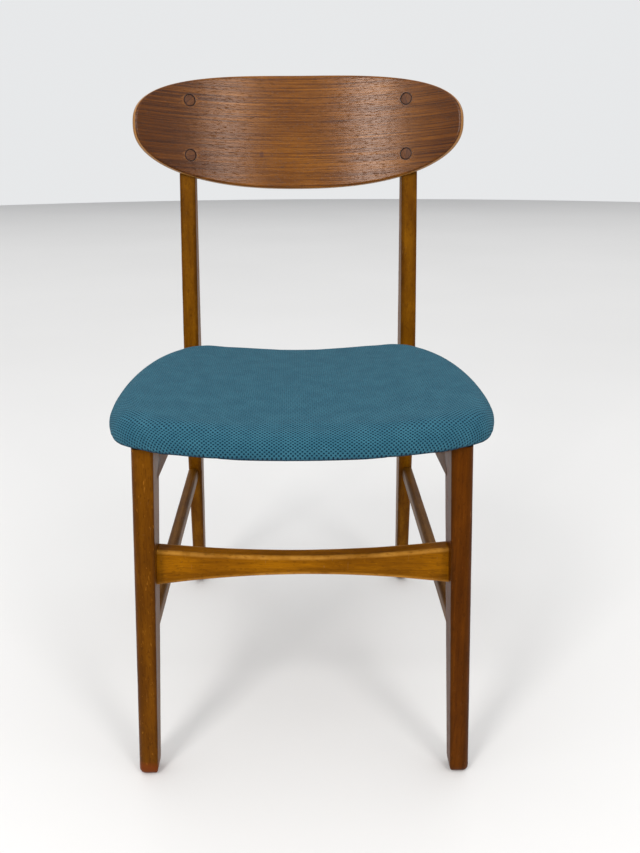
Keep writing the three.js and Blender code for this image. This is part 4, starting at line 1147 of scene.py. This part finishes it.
def seat_cover(material):
    """The cloth. Its weave runs over the top and down the sides, and it carries painted shade where it folds
    under.
    """
    side_from, fold_height, fold_fade = 0.8, 0.0016, 0.0030
    mesh = swollen(padded_form("seat_cover_form", COVER_INSET, 0.0))
    open_below(mesh)
    mesh.attributes.new("weave", "FLOAT_VECTOR", "POINT")
    mesh.attributes.new("fold", "FLOAT", "POINT")
    weave, fold = mesh.attributes["weave"], mesh.attributes["fold"]
    half = ((SEAT_HIGH - SEAT_LOW) / 2).xy
    for vertex in mesh.vertices:
        x, y = vertex.co.xy
        height = height_on_seat(vertex.co)
        away = vertex.co.xy - SEAT_MIDDLE
        out = Vector([away[i] / half[i] ** 4 * abs(away[i]) ** 2 for i in (X, Y)])
        out = out.normalized() if out.length > 0 else Vector((0, 0))
        on_side = limited((share_of_outline(vertex.co) - side_from) * 6)
        fall = max(0.0, SEAT_THICKNESS - 0.002 - height) * on_side
        weave.data[vertex.index].vector = (x + out.x * fall, y + out.y * fall, 0.0)
        # This marks where painted shade goes: the lower edge, where the cloth folds under.
        fold.data[vertex.index].value = limited(1.0 - max(0.0, height - fold_height) / fold_fade)
    mesh.polygons.foreach_set("use_smooth", [True] * len(mesh.polygons))
    mesh.materials.clear()
    made = piece("seat_cover_padded", mesh, material, "seat_fabric", "seat_cover")
    thick = made.modifiers.new("thick", "SOLIDIFY")
    thick.thickness = COVER_THICKNESS
    thick.offset = -1


def seat_pad(material):
    mesh = padded_form("seat_pad_foam", FOAM_INSET, FOAM_BOTTOM)
    made = piece("seat_pad_foam", mesh, material, "seat_foam", "seat_pad")


LINING_OUTLINE = plan_of("seat_dust_cover", 160)


def dust_cover(material):
    """Black lining under the seat, turned in at its edge and pulled up a little at each staple."""
    low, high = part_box("seat_dust_cover")
    skin = Skin()
    fold, hem, sag_at_edge, sag_inside = 0.001, 0.0105, 0.0008, 0.0006

    def add(inset, height, scale=1.0):
        items = []
        for i, p in enumerate(outline_ring(LINING_OUTLINE, inset, scale)):
            slack = abs(math.sin(math.pi * STAPLES * i / len(LINING_OUTLINE)))
            sag = sag_at_edge * slack * max(0.0, scale - 0.9) / 0.1 + sag_inside * (1 - scale ** 2)
            items.append(((p.x, p.y, low.z + height + saddle(p.x) + 0.0002 - sag), {}))
        return skin.ring(items)

    rings = [add(0.0, 0.0, scale) for scale in (0.2, 0.4, 0.6, 0.8, 0.9)]
    rings += [add(hem, 0.0), add(hem - fold, -0.0006), add(fold, -0.0006), add(0.0, 0.0)]
    rings += [add(0.0, LINING_THICKNESS), add(fold, LINING_THICKNESS)]
    rings += [add(0.0, LINING_THICKNESS, scale) for scale in (0.9, 0.8, 0.6, 0.4, 0.2)]
    base = low.z - 0.0004
    skin.wrap(rings, ((*SEAT_MIDDLE, base), {}), ((*SEAT_MIDDLE, base + LINING_THICKNESS), {}))
    mesh = skin.mesh("dust_cover_lining")
    made = piece("dust_cover_lining", mesh, material, "dust_cloth", "seat_dust_cover")


def lining_staples(steel):
    """Flat wire staples along the lining's edge, none of them quite straight."""
    low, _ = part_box("seat_dust_cover")
    inset, below, most_slant, half_width, half_height = 0.0055, 0.0010, 0.35, 0.00045, 0.00030
    bends = ((-0.0050, 0.0012), (-0.0048, 0.0003), (-0.0043, 0.0), (0.0043, 0.0), (0.0048, 0.0003),
             (0.0050, 0.0012))
    wires = Skin()
    line = outline_ring(LINING_OUTLINE, inset)
    for k in range(STAPLES):
        i = int((k + 0.5) * len(line) / STAPLES)
        here = line[i]
        along = (line[(i + 1) % len(line)] - line[i - 1]).normalized()
        slant = Matrix.Rotation(most_slant * math.sin(k * 2.4), 3, "Z")
        way = slant @ along.to_3d()
        side = Vector((-way.y, way.x, 0))
        centre = Vector((here.x, here.y, low.z + saddle(here.x) - below))
        rings = []
        for along_by, rise in bends:
            at = centre + way * along_by + Vector((0, 0, rise))
            rings.append(wires.ring([(at + side * half_width * c + Vector((0, 0, half_height * s)), {})
                                     for c, s in around(8)]))
        wires.wrap(rings, *((wires.middle(ring), {}) for ring in (rings[0], rings[-1])))
    piece("lining_staples", wires.mesh("lining_staples"), steel, "screw_steel")


# ---- The chair ----------------------------------------------------------------------------------
def dress(node_name, material):
    """Gives a CAD node its finish."""
    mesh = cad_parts[node_name].data
    mesh.materials.clear()
    mesh.materials.append(material)


stand_camera()
light_studio()
lay_floor()

LEG_PALE = (0.150, 0.049, 0.0012, 1)
LEG_DARK = (0.094, 0.027, 0.0007, 1)
LEG_ARRIS = (0.040, 0.012, 0.0015, 1)
RIGHT_PALE = (0.100, 0.025, 0.0008, 1)
RIGHT_DARK = (0.066, 0.015, 0.0005, 1)
POST_PALE = (0.185, 0.067, 0.0015, 1)
POST_DARK = (0.115, 0.036, 0.0008, 1)
BAR_PALE = (0.190, 0.080, 0.010, 1)
BAR_DARK = (0.105, 0.040, 0.005, 1)
GOLDEN_PALE = (0.275, 0.096, 0.0008, 1)
GOLDEN_DARK = (0.140, 0.046, 0.0006, 1)
# Painted highlight, as well as wear, along the golden stretcher's arrises.
GOLDEN_ARRIS_WEAR_AND_HIGHLIGHT = (0.560, 0.270, 0.050, 1)
BARE_FOOT = (0.17, 0.032, 0.006, 1)
ALONG_X = (0, 0, 0)
ALONG_Y = (0, 0, math.pi / 2)

front_legs({
    "left": stained_wood("stained_beech_left", LEG_PALE, LEG_DARK, LEG_ARRIS, 0.34, streaks=2.0, nicks=0.45,
                         worn_foot=BARE_FOOT),
    "right": stained_wood("stained_beech_right", RIGHT_PALE, RIGHT_DARK, LEG_ARRIS, 0.34, streaks=0.6),
})
leg_finish = stained_wood("stained_beech_rear", POST_PALE, POST_DARK, LEG_ARRIS, 0.36, streaks=1.6)
rail_finish = stained_wood("stained_beech_rail", LEG_PALE, LEG_DARK, LEG_ARRIS, 0.42, turn=ALONG_Y)
steel = plated_steel()

rear_legs(leg_finish)
side_stretchers(stained_wood("stained_beech_bar", BAR_PALE, BAR_DARK, LEG_ARRIS, 0.34, streaks=1.2))
front_stretcher(stained_wood("golden_beech", GOLDEN_PALE, GOLDEN_DARK, GOLDEN_ARRIS_WEAR_AND_HIGHLIGHT, 0.30, streaks=2.6,
                             contrast=1.2))
rear_rail(leg_finish)
front_cross_rail(raw_beech("bare_beech_rail", None))
backrest(teak_veneer(), teak_plug())
seat_cover(seat_cloth())
seat_pad(seat_foam())
dust_cover(dust_cloth())
lining_staples(steel)

for side_name, _ in SIDES:
    dress("side_rail_" + side_name, rail_finish)
dress("seat_board", seat_plywood())

bare_x = raw_beech("bare_beech_across", ALONG_X)
bare_y = raw_beech("bare_beech_fore_and_aft", ALONG_Y)
for node_name in sorted(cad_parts):
    if node_name.startswith("dowel_"):
        fluted_dowel(node_name, bare_y if "side_rail" in node_name else bare_x)
    elif "screw_" in node_name:
        wood_screw(node_name + "_threaded", node_name, steel)
